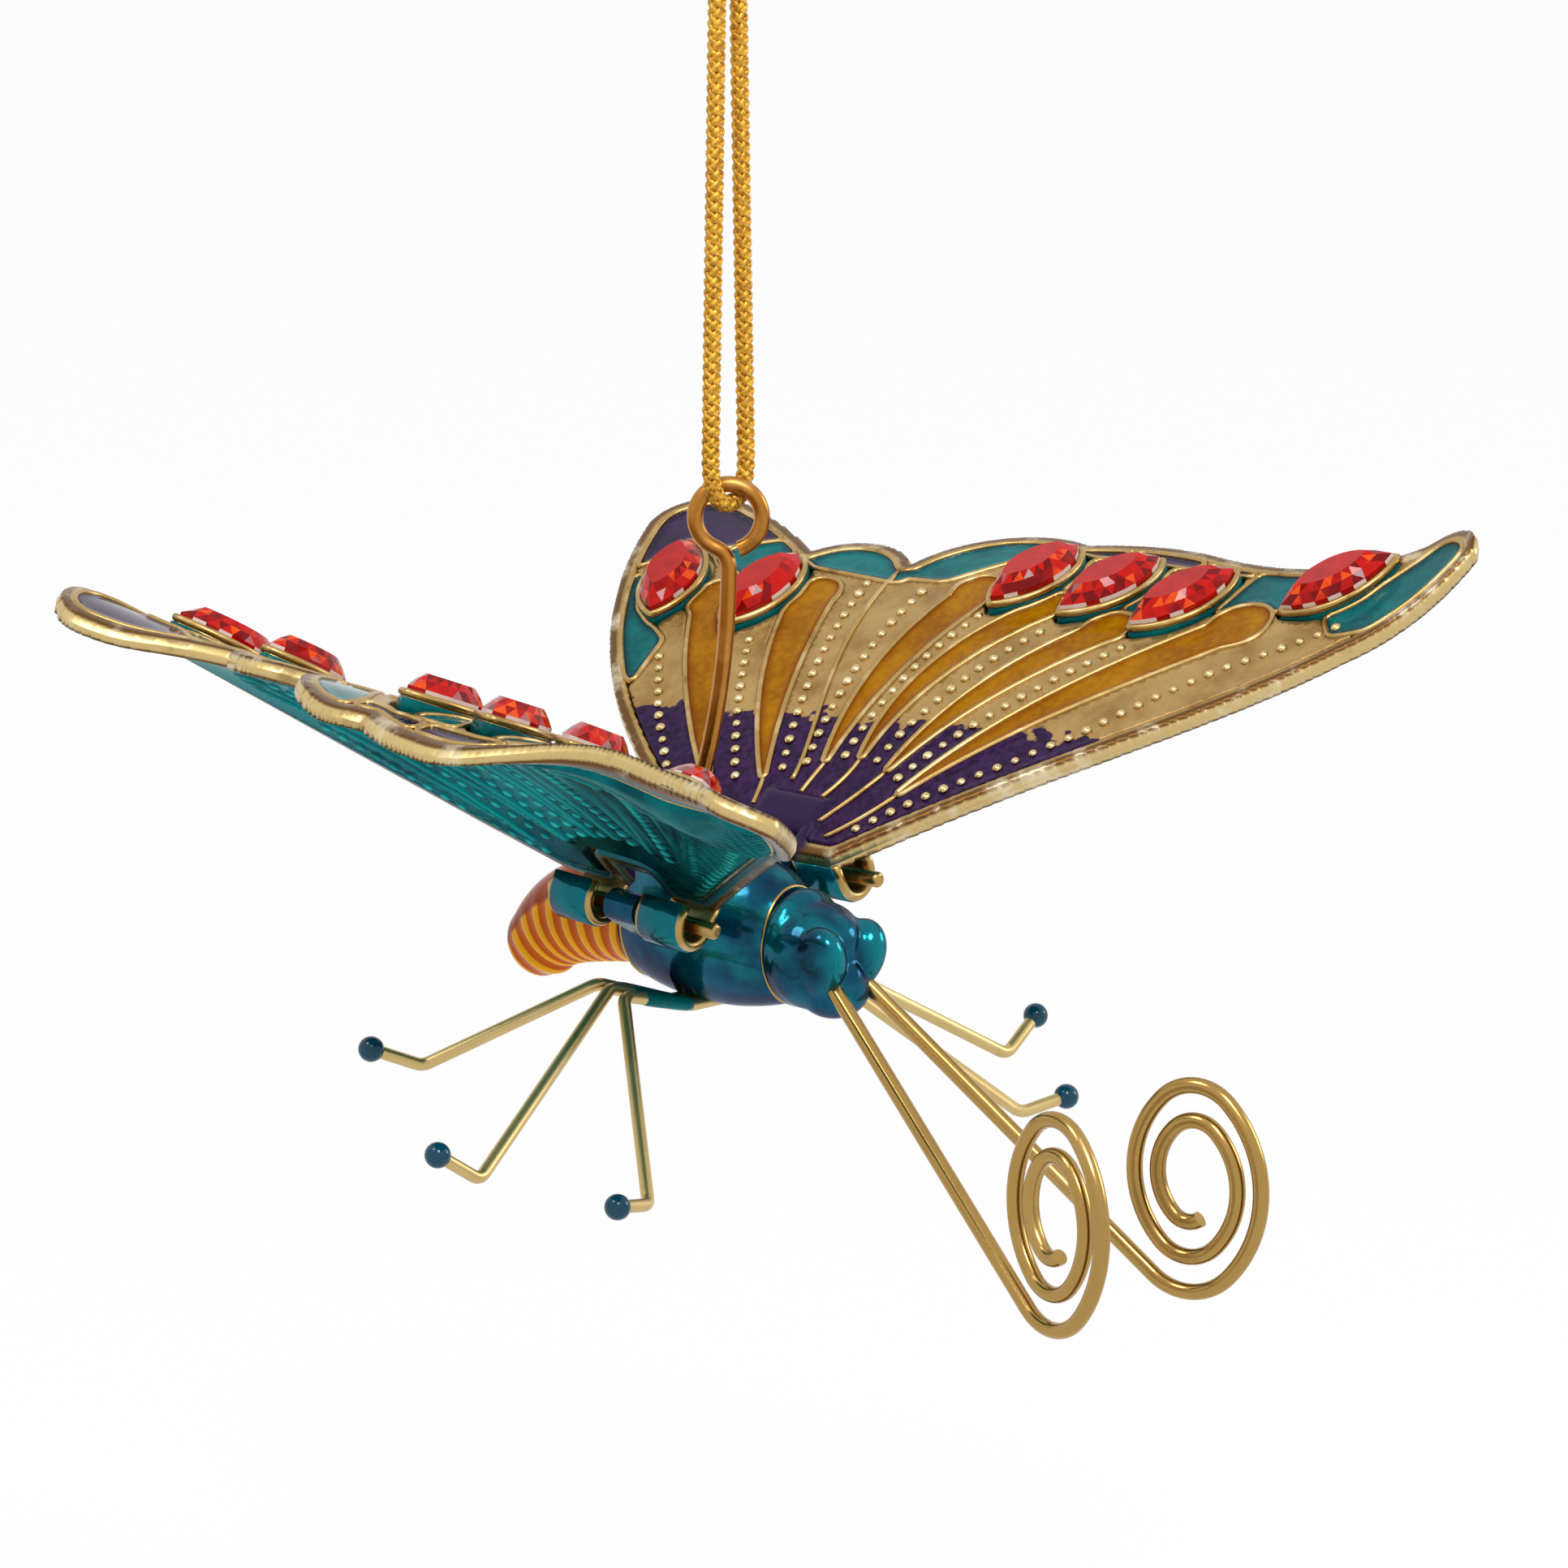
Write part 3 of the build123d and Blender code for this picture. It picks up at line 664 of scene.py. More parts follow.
def cellLoops(node):
    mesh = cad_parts[node].data
    verts = toWing("left", [v.co for v in mesh.vertices])
    keys = {}
    index = []
    for point in verts:
        key = tuple(round(value * cells["mergeScale"]) for value in point)
        index.append(keys.setdefault(key, len(keys)))
    merged = np.zeros((len(keys), 3))
    for i, point in zip(index, verts):
        merged[i] = point
    level = merged[:, 2] - wingHeight(merged[:, 0], merged[:, 1], sides["left"]["bends"])
    top = level > (level.min() + level.max()) / 2
    edges = {}
    mesh.calc_loop_triangles()
    for tri in mesh.loop_triangles:
        a, b, c = (index[i] for i in tri.vertices)
        if top[a] and top[b] and top[c] and len({a, b, c}) == 3:
            for edge in ((a, b), (b, c), (c, a)):
                edge = tuple(sorted(edge))
                edges[edge] = edges.get(edge, 0) + 1
    follow = {}
    for (a, b), uses in edges.items():
        if uses == 1:
            follow.setdefault(a, []).append(b)
            follow.setdefault(b, []).append(a)
    loops = []
    while follow:
        start = next(iter(follow))
        loop = [start]
        here = start
        while follow.get(here):
            after = follow[here].pop()
            follow[after].remove(here)
            if not follow[here]:
                del follow[here]
            here = after
            if here == start:
                break
            loop.append(here)
        if not follow.get(here):
            follow.pop(here, None)
        if len(loop) > 3:
            loops.append(merged[loop][:, :2])
    return loops


def wingOutline(step):
    start = wing["frontRoot"]
    pieces = []
    for through, end in wing["margin"]:
        pieces.append(arcThrough(start, through, end, step))
        start = end
    corners = [start] + wing["notch"] + [wing["frontRoot"]]
    for a, b in zip(corners[:-1], corners[1:]):
        count = max(1, int(hypot(b[0] - a[0], b[1] - a[1]) / step))
        a, b = np.array(a), np.array(b)
        pieces.append(np.array([a + (b - a) * i / count for i in range(count)]))
    return np.vstack(pieces)


outline = wingOutline(cells["step"])
loops = {name: [rounded(loop, cells["step"]) for loop in cellLoops(f"left_wing_{name}_enamel")]
         for name in ("amber", "teal", "purple", "lane", "back")}
print("wing cells read:", {name: len(value) for name, value in loops.items()})


def onSkin(points, level, bends):
    return np.column_stack([points, wingHeight(*points.T, bends) + level])


def enamelFill(side, name):
    bends = sides[side]["bends"]
    flat, faces = fillRegion(loops[name], cells["step"])
    gap = nearest(flat, loops[name])
    skin = wingHeight(*flat.T, bends)
    top = skin + cells["enamelTop"] + cells["meniscus"] * np.exp(-(gap / cells["meniscusRun"]) ** 2)
    verts, faces = closedSlab(flat, faces, top, skin + cells["enamelFloor"])
    fields = {"gap": np.tile(gap, 2)}
    if name == "lane":
        ax, ay = cells["purpleFront"]
        bx, by = cells["purpleRear"]
        length = hypot(bx - ax, by - ay)
        outward = ((verts[:, 0] - ax) * (by - ay) - (verts[:, 1] - ay) * (bx - ax)) / length
        fields = {"outward": outward}
    return wingPiece(side, f"{name}_enamel", verts, faces, name, f"{name}_enamel",
                     [f"{side}_wing_{name}_enamel"], fields)


notchPlate = {
    "loop": [(1.6, 2.4), (4.6, 2.4), (4.6, 8.4), (1.6, 8.4)],
    "top": -0.2, "dome": 0.3, "run": 0.7, "power": 0.6, "bottom": -0.6,
    "inner": 1.6, "innerSlope": 2, "innerGap": 0.5, "tier": 2.0,
}


def notchPiece(side):
    loop = np.array(notchPlate["loop"])
    flat, faces = fillRegion([evenly(loop, cells["step"])], cells["step"])
    skin = wingHeight(*flat.T, sides[side]["bends"])
    inward = notchPlate["innerSlope"] * (flat[:, 0] - notchPlate["inner"]) + notchPlate["innerGap"]
    share = np.clip(np.minimum(nearest(flat, [loop]), inward) / notchPlate["run"], 0, 1)
    dome = notchPlate["top"] + notchPlate["dome"] * share ** notchPlate["power"]
    verts, faces = closedSlab(flat, faces, skin + dome, skin + notchPlate["bottom"])
    above = np.repeat([1.0, 0.0], len(flat))
    fields = {"root": above, "under": 1 - above, "tier": notchPlate["tier"]}
    return wingPiece(side, "root_enamel", verts, faces, "rim", "purple_enamel", (), fields)


for side in sides:
    for name in ("amber", "teal", "purple", "lane"):
        enamelFill(side, name)
    notchPiece(side)
print("enamel filled")


# Casting: rim, floor, walls, collars and hooks

stones = {
    "length": 7.6, "width": 3.8, "seat": 0.15, "girdle": 0.75, "crown": 0.95, "table": 0.64,
    "places": {
        "hind_inner": ((19.7, 28.0), 18.0), "hind_outer": ((20.2, 20.5), -4.0),
        "fore_rear": ((26.6, 2.5), -10.0), "fore_middle": ((26.8, -3.6), -20.0),
        "fore_front": ((26.5, -9.8), -24.0), "tip": ((29.5, -20.4), -45.0),
    },
    "points": 20, "crownRow": (0.84, 0.55), "slopeStep": 0.35,
    # a random share of the girdle facets carries the painted reflection, the others stay mid red
    "tableFacet": 0.55, "reflectionShare": 0.5, "reflectionFacet": -1.0, "girdleFacet": 0.4,
    "wall": [(1.0, -0.2), (1.0, 0.45)], "skirt": [(1.05, -0.9), (1.05, 0.02), (1.03, 0.16)],
    "collarOut": 0.2, "collarRadius": 0.24, "collarLevel": 0.45, "collarPoints": 48,
    "seatDepth": 0.9, "seatGap": 0.4,
}


def navette(length, width, count):
    half = length / 2
    bow = width / 2
    radius = (half**2 + bow**2) / (2 * bow)
    span = np.arcsin(half / radius)
    turn = np.linspace(-span, span, count // 2, endpoint=False)
    upper = np.column_stack([-radius * np.sin(turn), radius * np.cos(turn) - (radius - bow)])
    return np.vstack([upper, -upper])


def stoneFrame(place, bends):
    (x, y), turn = stones["places"][place]
    step = stones["slopeStep"]
    slopeX = (wingHeight(x + step, y, bends) - wingHeight(x - step, y, bends)) / (2 * step)
    slopeY = (wingHeight(x, y + step, bends) - wingHeight(x, y - step, bends)) / (2 * step)
    normal = np.array([-slopeX, -slopeY, 1.0])
    normal /= np.linalg.norm(normal)
    along = np.array([cos(radians(turn)), sin(radians(turn)), 0.0])
    along -= normal * along.dot(normal)
    along /= np.linalg.norm(along)
    return np.array([x, y, wingHeight(x, y, bends)]), np.array([along, np.cross(normal, along), normal])


def atLevel(plan, level):
    return np.column_stack([plan, np.full(len(plan), level)])


def stacked(rings):
    count = len(rings[0])
    return np.vstack(rings), capFaces(len(rings), count) + ringFaces(len(rings), count)


rim = {
    "step": 0.2, "power": 4, "least": 0.03, "root": (2.2, 5.4), "rootSpan": (3.0, 3.6),
    "floorStep": 0.9, "floor": (-0.4, -1.0),
}


def rimBand(bends):
    bed = loops["back"][0]
    flat, faces = fillRegion([evenly(loop, rim["step"]) for loop in (outline, bed)], rim["step"])
    out, inner = nearest(flat, [outline]), nearest(flat, [bed])
    share = out / (out + inner + 1e-9)
    swell = np.maximum((1 - np.abs(2 * share - 1) ** rim["power"]) ** (1 / rim["power"]), rim["least"])
    skin = wingHeight(*flat.T, bends) - wing["rimMiddle"]
    verts, faces = closedSlab(flat, faces, skin + wing["rimUp"] * swell, skin - wing["rimDown"] * swell)
    tier = np.where(share < 0.5, swell, 1.0 + 2 * np.maximum(share - 0.5, 0))
    root = np.exp(-(((flat - rim["root"]) / rim["rootSpan"]) ** rim["power"]).sum(1))
    none = np.zeros(len(flat))
    fields = {"tier": [tier, tier], "under": [none, none + 1], "root": [root, none]}
    return verts, faces, {key: np.concatenate(values) for key, values in fields.items()}


def castFloor(bends):
    flat, faces = fillRegion([loops["back"][0]], rim["floorStep"])
    skin = wingHeight(*flat.T, bends)
    top, bottom = rim["floor"]
    return closedSlab(flat, faces, skin + top, skin + bottom)


# dome lightens all hook enamel towards teal, a painted highlight
hook = {"bendPoints": 15, "legShare": 0.5, "soft": 0.16, "enamel": (-0.2, 0.1), "inset": 0.3, "dome": 0.45}


def hookStrip(span, low, high, inset):
    middle = wing["rodRadius"] + wing["hookGap"] + wing["hookStrip"] / 2
    legTop = wing["rodBelow"] - wing["thickness"] / 2
    path = [(-middle, legTop), (-middle, legTop * hook["legShare"])]
    path += [(middle * cos(a), middle * sin(a)) for a in np.linspace(pi, 2 * pi, hook["bendPoints"])]
    path = np.array(path + [(middle, wing["hookLip"])])
    front, rear = span[0] + inset, span[1] - inset
    soft = min(hook["soft"], (high - low) / 3)
    section = [(front, high - soft), (front + soft, high), (rear - soft, high), (rear, high - soft),
               (rear, low + soft), (rear - soft, low), (front + soft, low), (front, low + soft)]
    verts = []
    for (x, z), (ahead, rise) in zip(path, unit(np.gradient(path, axis=0))):
        for y, off in section:
            verts.append((wing["rodOut"] + x + rise * off, y, rodHeight + z - ahead * off))
    return verts, ringFaces(len(path), len(section)) + capFaces(len(path), len(section))


def wallLine(loop, bends):
    run = np.roll(loop, -1, 0) - np.roll(loop, 1, 0)
    normal = unit(np.column_stack([run[:, 1], -run[:, 0]]))
    area = (loop[:, 0] * np.roll(loop[:, 1], -1) - np.roll(loop[:, 0], -1) * loop[:, 1]).sum()
    return onSkin(loop + normal * np.sign(area) * cells["wallOut"], cells["wallLevel"], bends)


veins = {
    "radius": 0.17, "points": 26, "degree": 3,
    "lines": [
        [(3.6, 12.7), (2.7, 11.4), (2.0, 9.6)], [(4.9, 8.9), (3.9, 8.6), (3.0, 8.4)],
        [(6.9, 5.2), (5.8, 5.3), (4.5, 5.4)], [(7.7, 2.8), (6.0, 3.0), (4.4, 3.6)],
        [(7.1, 0.3), (4.8, 1.3), (2.6, 2.6)], [(5.5, -1.7), (3.4, -0.3), (1.6, 1.4)],
        [(25.7, 13.2), (19.5, 11.9), (13.2, 9.6), (8.8, 7.7), (5.2, 6.7)],
    ],
}


def veinLine(points, bends):
    share = np.linspace(0, 1, len(points))
    at = np.linspace(0, 1, veins["points"])
    degree = min(veins["degree"], len(points) - 1)
    fit = [np.polyval(np.polyfit(share, values, degree), at) for values in np.array(points).T]
    return onSkin(np.column_stack(fit), cells["wallLevel"], bends)


def casting(side):
    bends = sides[side]["bends"]
    verts, faces, fields = rimBand(bends)
    wingPiece(side, "rim", verts, faces, "rim", "gold", (), fields)
    stock, seats, enamel = Stock(), Stock(), Stock()
    stock.put(*castFloor(bends))
    for name in ("amber", "teal", "purple"):
        for loop in loops[name]:
            stock.put(*tube(wallLine(loop, bends), cells["wallRadius"], closed=True))
    for points in veins["lines"]:
        stock.put(*tube(veinLine(points, bends), veins["radius"]))
    grow = 2 * stones["collarOut"]
    plan = navette(stones["length"] + grow, stones["width"] + grow, stones["collarPoints"])
    for place in stones["places"]:
        middle, axes = stoneFrame(place, bends)
        line = middle + atLevel(plan, stones["collarLevel"]) @ axes
        stock.put(*tube(line, stones["collarRadius"], closed=True))
        for pile, levels in ((stock, stones["wall"]), (seats, stones["skirt"])):
            rings = [middle + atLevel(plan * wide, level) @ axes for wide, level in levels]
            for ring in rings:
                lowest = wingHeight(ring[:, 0], ring[:, 1], bends) - stones["seatDepth"]
                ring[:, 2] = np.maximum(ring[:, 2], lowest)
            pile.put(*stacked(rings))
    half = wing["hookStrip"] / 2
    low, high = hook["enamel"]
    for span in wing["hooks"]:
        stock.put(*hookStrip(span, -half, half, 0.0))
        enamel.put(*hookStrip(span, half + low, half + high, hook["inset"]))
    wingPiece(side, "stone_seats", seats.verts, seats.faces, "teal", "teal_enamel",
              (), {"gap": stones["seatGap"]})
    wingPiece(side, "hook_enamel", enamel.verts, enamel.faces, "body", "back_enamel",
              (), {"dome": hook["dome"]})
    return wingPiece(side, "casting", stock.verts, stock.faces, "gold", "gold", [f"{side}_wing_plate"])


for side in sides:
    casting(side)
print("castings made")


# Beads along the lanes

leaves = [
    ((3.6, 12.7), (20.7, 25.1), 0.4), ((4.9, 8.9), (22.9, 18.1), 0.5), ((6.9, 5.2), (26.5, 6.0), 0.75),
    ((7.7, 2.8), (25.9, -0.2), 1.35), ((7.1, 0.3), (24.7, -6.6), 0.85), ((5.5, -1.7), (27.1, -16.1), 0.65),
]
beads = {
    "step": 1.2, "radius": 0.35, "level": -0.13, "sizes": (0.88, 1.12), "flatten": (1.0, 1.0, 0.85),
    "clear": 0.9, "rings": 4, "sides": 10, "span": (0.03, 0.97), "samples": 24,
    "costa": [
        (2.6, -0.5), (6.2, -4.1), (9.8, -7.9), (13.4, -11.1), (17.7, -14.0), (21.1, -16.7), (24.2, -20.2),
        (26.0, -22.4),
    ],
    "inner": [(2.6, 12.6), (4.6, 17.0), (8.5, 20.6), (13.0, 24.0)],
    "between": [(0, 1, 0.5), (1, 2, 0.3), (1, 2, 0.68), (2, 3, 0.5), (3, 4, 0.5), (4, 5, 0.5)],
}


def leafLine(leaf, at):
    (ax, ay), (bx, by), bow = leaf
    dx, dy = bx - ax, by - ay
    length = hypot(dx, dy)
    off = bow * 4 * at * (1 - at)
    return np.column_stack([ax + dx * at - dy / length * off, ay + dy * at + dx / length * off])


def beadRows():
    rows = [np.array(beads["inner"]), np.array(beads["costa"])]
    at = np.linspace(*beads["span"], beads["samples"])
    for first, second, mix in beads["between"]:
        rows.append(leafLine(leaves[first], at) * (1 - mix) + leafLine(leaves[second], at) * mix)
    return [evenly(row, beads["step"], False) for row in rows]


def beadForm():
    rings, count = beads["rings"], beads["sides"]
    verts = [(0.0, 0.0, 1.0)]
    for high in np.linspace(0, pi / 2, rings + 1)[1:]:
        for turn in np.arange(count) * 2 * pi / count:
            verts.append((sin(high) * cos(turn), sin(high) * sin(turn), cos(high)))
    faces = [(0, 1 + k, 1 + (k + 1) % count) for k in range(count)]
    lower = flipped(ringFaces(rings, count)) + [capFaces(rings, count)[1][::-1]]
    return np.array(verts), faces + [tuple(i + 1 for i in face) for face in lower]


def beadPiece(side):
    bends = sides[side]["bends"]
    form, faces = beadForm()
    lanes = loops["lane"] + loops["teal"]
    stock = Stock()
    for row in beadRows():
        row = row[inside(row, lanes)]
        if len(row):
            row = row[nearest(row, lanes) > beads["radius"] * beads["clear"]]
        for x, y in row:
            size = beads["radius"] * rng.uniform(*beads["sizes"])
            spot = np.array([x, y, wingHeight(x, y, bends) + beads["level"]])
            stock.put(form * size * np.array(beads["flatten"]) + spot, faces)
    print(side, "beads", len(stock.faces) // len(faces))
    return wingPiece(side, "beads", stock.verts, stock.faces, "bead", "gold")


for side in sides:
    beadPiece(side)


# Stones: girdle, two rows of crown facets and a table

def stonePiece(side, place):
    middle, axes = stoneFrame(place, sides[side]["bends"])
    count = stones["points"]
    girdle = navette(stones["length"], stones["width"], count)
    turned = (girdle + np.roll(girdle, -1, 0)) / 2
    edge = stones["seat"] + stones["girdle"]
    wide, high = stones["crownRow"]
    verts = np.vstack([
        atLevel(girdle, stones["seat"]), atLevel(girdle, edge),
        atLevel(turned * wide, edge + stones["crown"] * high),
        atLevel(girdle * stones["table"], edge + stones["crown"]),
    ])
    bottom, table = capFaces(4, count)
    faces = [bottom]
    for k in range(count):
        a, b, c, d = (ring * count + k for ring in range(4))
        e, f, g, h = (ring * count + (k + 1) % count for ring in range(4))
        faces += [(a, e, f, b), (b, f, c), (f, g, c), (c, h, d), (c, g, h)]
    faces.append(table)
    # random facet values pick painted shade, painted glints and a painted reflection for each face
    facet = rng.uniform(0.0, 1.0, len(faces))
    facet[-1] = stones["tableFacet"]
    # girdle facets chosen here get the painted reflection
    reflecting = rng.uniform(0.0, 1.0, count) < stones["reflectionShare"]
    facet[1:-1:5] = np.where(reflecting, stones["reflectionFacet"], stones["girdleFacet"])
    return wingPiece(side, f"stone_{place}", middle + verts @ axes, faces, "stone", "stone",
                     [f"{side}_stone_{place}"], {"facet": facet}, False)


for side in sides:
    for place in stones["places"]:
        stonePiece(side, place)
print("stones set")


# Underside: enamel over the back of the pressed pattern

back = {
    "step": 0.26, "top": -0.75, "level": -1.25, "relief": 0.2, "edgeRun": 0.6, "edgeLevel": 0.72,
    "ridgeRun": 0.3, "dotRun": 0.4, "dotPower": 4, "dotHeight": 0.95, "batch": 2000,
    "rayFrom": (-4.0, 5.0), "rays": 17.0, "ribPitch": 0.8, "rayHeight": 0.5,
    "fanPitch": 0.62, "fanSlope": 1.02, "fanFrom": 1.0, "fanReach": 6.5, "fanFade": 2, "fanHeight": 0.8,
}


def ripple(phase):
    return 0.5 + 0.5 * np.cos(2 * pi * phase)


def backPiece(side):
    bed, amber = loops["back"][:1], loops["amber"]
    flat, faces = fillRegion(bed, back["step"])
    skin = wingHeight(*flat.T, sides[side]["bends"])
    ridge = np.exp(-(nearest(flat, amber) / back["ridgeRun"]) ** 2)
    rows = np.vstack(beadRows())
    dots = np.zeros(len(flat))
    for first in range(0, len(flat), back["batch"]):
        part = slice(first, first + back["batch"])
        gap = np.sqrt(((flat[part, None] - rows) ** 2).sum(2)).min(1)
        dots[part] = np.exp(-(gap / back["dotRun"]) ** back["dotPower"])
    x, y = (flat - back["rayFrom"]).T
    wave = ripple(np.arctan2(y, x) * back["rays"] / back["ribPitch"])
    rays = np.where(inside(flat, amber), wave, 0.0) * back["rayHeight"]
    ahead = flat[:, 1] + back["fanSlope"] * flat[:, 0] - back["fanFrom"]
    front = np.clip((1 - ahead / back["fanReach"]) * back["fanFade"], 0, 1)
    fan = ripple(np.hypot(x, y) / back["fanPitch"]) * front * back["fanHeight"]
    relief = np.clip(ridge + dots * back["dotHeight"] + rays + fan, 0, 1)
    inset = np.clip(nearest(flat, bed) / back["edgeRun"], 0, 1)
    level = back["level"] * (back["edgeLevel"] + (1 - back["edgeLevel"]) * inset)
    under = skin + level - relief * back["relief"] * inset
    verts, faces = closedSlab(flat, faces, skin + back["top"], under)
    # relief and dots also choose where the back finish paints its highlights
    none = np.zeros(len(flat))
    fields = {"relief": np.concatenate([none, relief]), "dots": np.concatenate([none, dots])}
    return wingPiece(side, "back_enamel", verts, faces, "back", "back_enamel",
                     [f"{side}_wing_back_enamel"], fields)


for side in sides:
    backPiece(side)
print("undersides made")


# Cord: a braid along the route, both ends in the knot

cord = {
    "radius": 0.5, "halfTop": 0.9, "halfEye": 1.65, "low": 20.637, "high": 53.48, "nearEye": 6.0,
    "order": 3, "resolution": 24, "strands": 8, "strandRadius": 0.22, "strandSides": 6,
    "sunk": 0.8, "weave": 0.25, "tilt": 0.3, "pitch": 2.6, "step": 0.13,
}


def cordRoute():
    low, high = cord["low"], cord["high"]
    top, eye, near = cord["halfTop"], cord["halfEye"], cord["nearEye"]
    strand = [(top, high), (eye - (eye - top) * near / (high - low), low + near), (eye, low)]
    points = [(-x, hang["back"], z) for x, z in strand] + [(x, hang["back"], z) for x, z in strand[::-1]]
    curve = bpy.data.curves.new("cordRoute", "CURVE")
    curve.dimensions = "3D"
    spline = curve.splines.new("NURBS")
    spline.points.add(len(points) - 1)
    for point, place in zip(spline.points, fromDatum(points)):
        point.co = (*place, 1.0)
    spline.order_u = cord["order"]
    spline.use_endpoint_u = True
    spline.resolution_u = cord["resolution"]
    route = linked("cordRoute", curve)
    mesh = bpy.data.meshes.new_from_object(route)
    line = np.array([tuple(v.co) for v in mesh.vertices])
    bpy.data.objects.remove(route)
    bpy.data.meshes.remove(mesh)
    return line


def braidMesh(line):
    line = evenly(line / mm, cord["step"], False)
    heading = unit(np.gradient(line, axis=0))
    across = unit(np.cross(heading, np.array([0.0, 1.0, 0.0])))
    lift = np.cross(across, heading)
    run = np.arange(len(line)) * cord["step"]
    thick = cord["strandRadius"]
    half = cord["strands"] // 2
    stock = Stock()
    for strand in range(cord["strands"]):
        way = 1 if strand < half else -1
        turn = way * run * 2 * pi / cord["pitch"] + (strand % half) * 2 * pi / half
        weave = np.cos(half * turn + (0 if way > 0 else pi)) * thick * cord["weave"]
        around = cord["radius"] - thick * cord["sunk"] + weave
        path = line + across * (np.cos(turn) * around)[:, None] + lift * (np.sin(turn) * around)[:, None]
        up = heading + across * cord["tilt"]
        stock.put(*tube(path * mm, thick * mm, cord["strandSides"], False, up))
    return stock


cordLine = cordRoute()
braid = braidMesh(cordLine)

knot = {
    "middle": (0.0, 3.9, 54.3), "ring": 0.78, "swing": 0.42, "rise": 0.95, "winds": 2, "lobes": 3,
    "radius": 0.46, "points": 150, "sides": 10, "up": (0.3, 0.2, 1),
}


def knotLine():
    turn = np.arange(knot["points"]) * 2 * pi / knot["points"]
    wind, lobe = knot["winds"] * turn, knot["lobes"] * turn
    around = knot["ring"] + knot["swing"] * np.cos(lobe)
    line = np.column_stack([around * np.cos(wind), around * np.sin(wind), knot["rise"] * np.sin(lobe)])
    return fromDatum(line + np.array(knot["middle"]))


knotForm = tube(knotLine(), knot["radius"] * mm, knot["sides"], True, knot["up"])
knotPiece = newPiece("cord_knot_wraps", *knotForm, "cord", "cord", "body", ["cord_knot"])
cordPiece = newPiece("hanging_braid", braid.verts, braid.faces, "cord", "cord", "body", ["hanging_cord"])


# Abdomen

abdomen = {
    "line": [(10.4, -5.8), (13.6, -5.8), (17.0, -6.7), (19.6, -8.5)],
    "root": 3.2, "tip": 2.5, "swell": 0.5, "rings": 150, "ringPower": 1.25, "around": 48,
    "ribs": 8, "ribHeight": 0.16, "ribOver": 1.2, "ribFan": 0.27, "flankFrom": 0.62, "flankRun": 0.5,
}


def abdomenPiece():
    knots = np.array(abdomen["line"])
    run = np.concatenate([[0], np.cumsum(np.linalg.norm(np.diff(knots, axis=0), axis=1))])
    fitY, fitZ = (np.polyfit(run, values, 3) for values in knots.T)
    root, tip, count = abdomen["root"], abdomen["tip"], abdomen["around"]
    verts, rib, flank = [], [], []
    for step in range(abdomen["rings"] + 1):
        at = (run[-1] + tip) * (1 - (1 - step / abdomen["rings"]) ** abdomen["ringPower"])
        inner = min(at, run[-1])
        share = inner / run[-1]
        past = at - inner
        dy, dz = np.polyval(np.polyder(fitY), inner), np.polyval(np.polyder(fitZ), inner)
        size = hypot(dy, dz)
        dy, dz = dy / size, dz / size
        y, z = np.polyval(fitY, inner) + dy * past, np.polyval(fitZ, inner) + dz * past
        radius = root + (tip - root) * share + abdomen["swell"] * sin(pi * share)
        radius *= max(0.0, 1 - (past / tip) ** 2) ** 0.5
        phase = at / (run[-1] + abdomen["ribOver"]) * abdomen["ribs"]
        for turn in np.arange(count) * 2 * pi / count:
            side, up = sin(turn), cos(turn)
            wave = ripple(phase - abdomen["ribFan"] * (1 - up))
            low = min(1.0, max(0.0, abdomen["flankFrom"] - up) / abdomen["flankRun"])
            r = radius - abdomen["ribHeight"] * (1 - wave) * low
            verts.append((side * r, y - dz * up * r, z + dy * up * r))
            rib.append(wave)
            flank.append(low)
    faces = [tuple(range(count))] + flipped(ringFaces(abdomen["rings"] + 1, count))
    return newPiece("abdomen_casting", fromDatum(verts), faces, "abdomen", "abdomen_enamel", "body",
                    ["abdomen"], {"rib": rib, "flank": flank})


abdomenPiece()


# Head: rounded forms grown together, with almond eyes

head = {
    "forms": [
        ((0.0, -3.4, -6.5), (3.5, 3.0, 3.4), 0.0, 0.0), ((0.0, -2.4, -6.2), (3.3, 2.0, 3.7), 0.0, 0.0),
        ((0.0, -4.8, -8.4), (2.2, 2.3, 1.85), 0.0, 0.0), ((0.0, -6.0, -7.7), (1.0, 1.0, 1.2), 0.0, 0.0),
        ((0.0, -4.6, -5.4), (2.0, 1.8, 1.8), 0.0, 20.0),
    ],
    "eye": ((1.75, -5.2, -6.5), (1.4, 1.85, 2.4), 12.0, 24.0), "neck": -1.6,
    "voxel": 0.16, "smooth": 6, "smoothFactor": 0.5,
    # a painted highlight over the upper part of each eye
    "highlightLift": 0.5, "highlightReach": 1.25, "highlightShape": (1.5, 0.6, 1.1),
}


def ellipsoid(middle, radii, outward, lean, mirror=1.0, across=28, up=18):
    turn = Matrix.Rotation(radians(outward * mirror), 3, "Y") @ Matrix.Rotation(radians(lean), 3, "X")
    centre = Vector((middle[0] * mirror, middle[1], middle[2]))
    verts = []
    for i in range(up + 1):
        high = pi * i / up
        for k in range(across):
            spin = 2 * pi * k / across
            point = (sin(high) * cos(spin), sin(high) * sin(spin), cos(high))
            verts.append(turn @ Vector([r * p for r, p in zip(radii, point)]) + centre)
    return verts, flipped(ringFaces(up + 1, across))


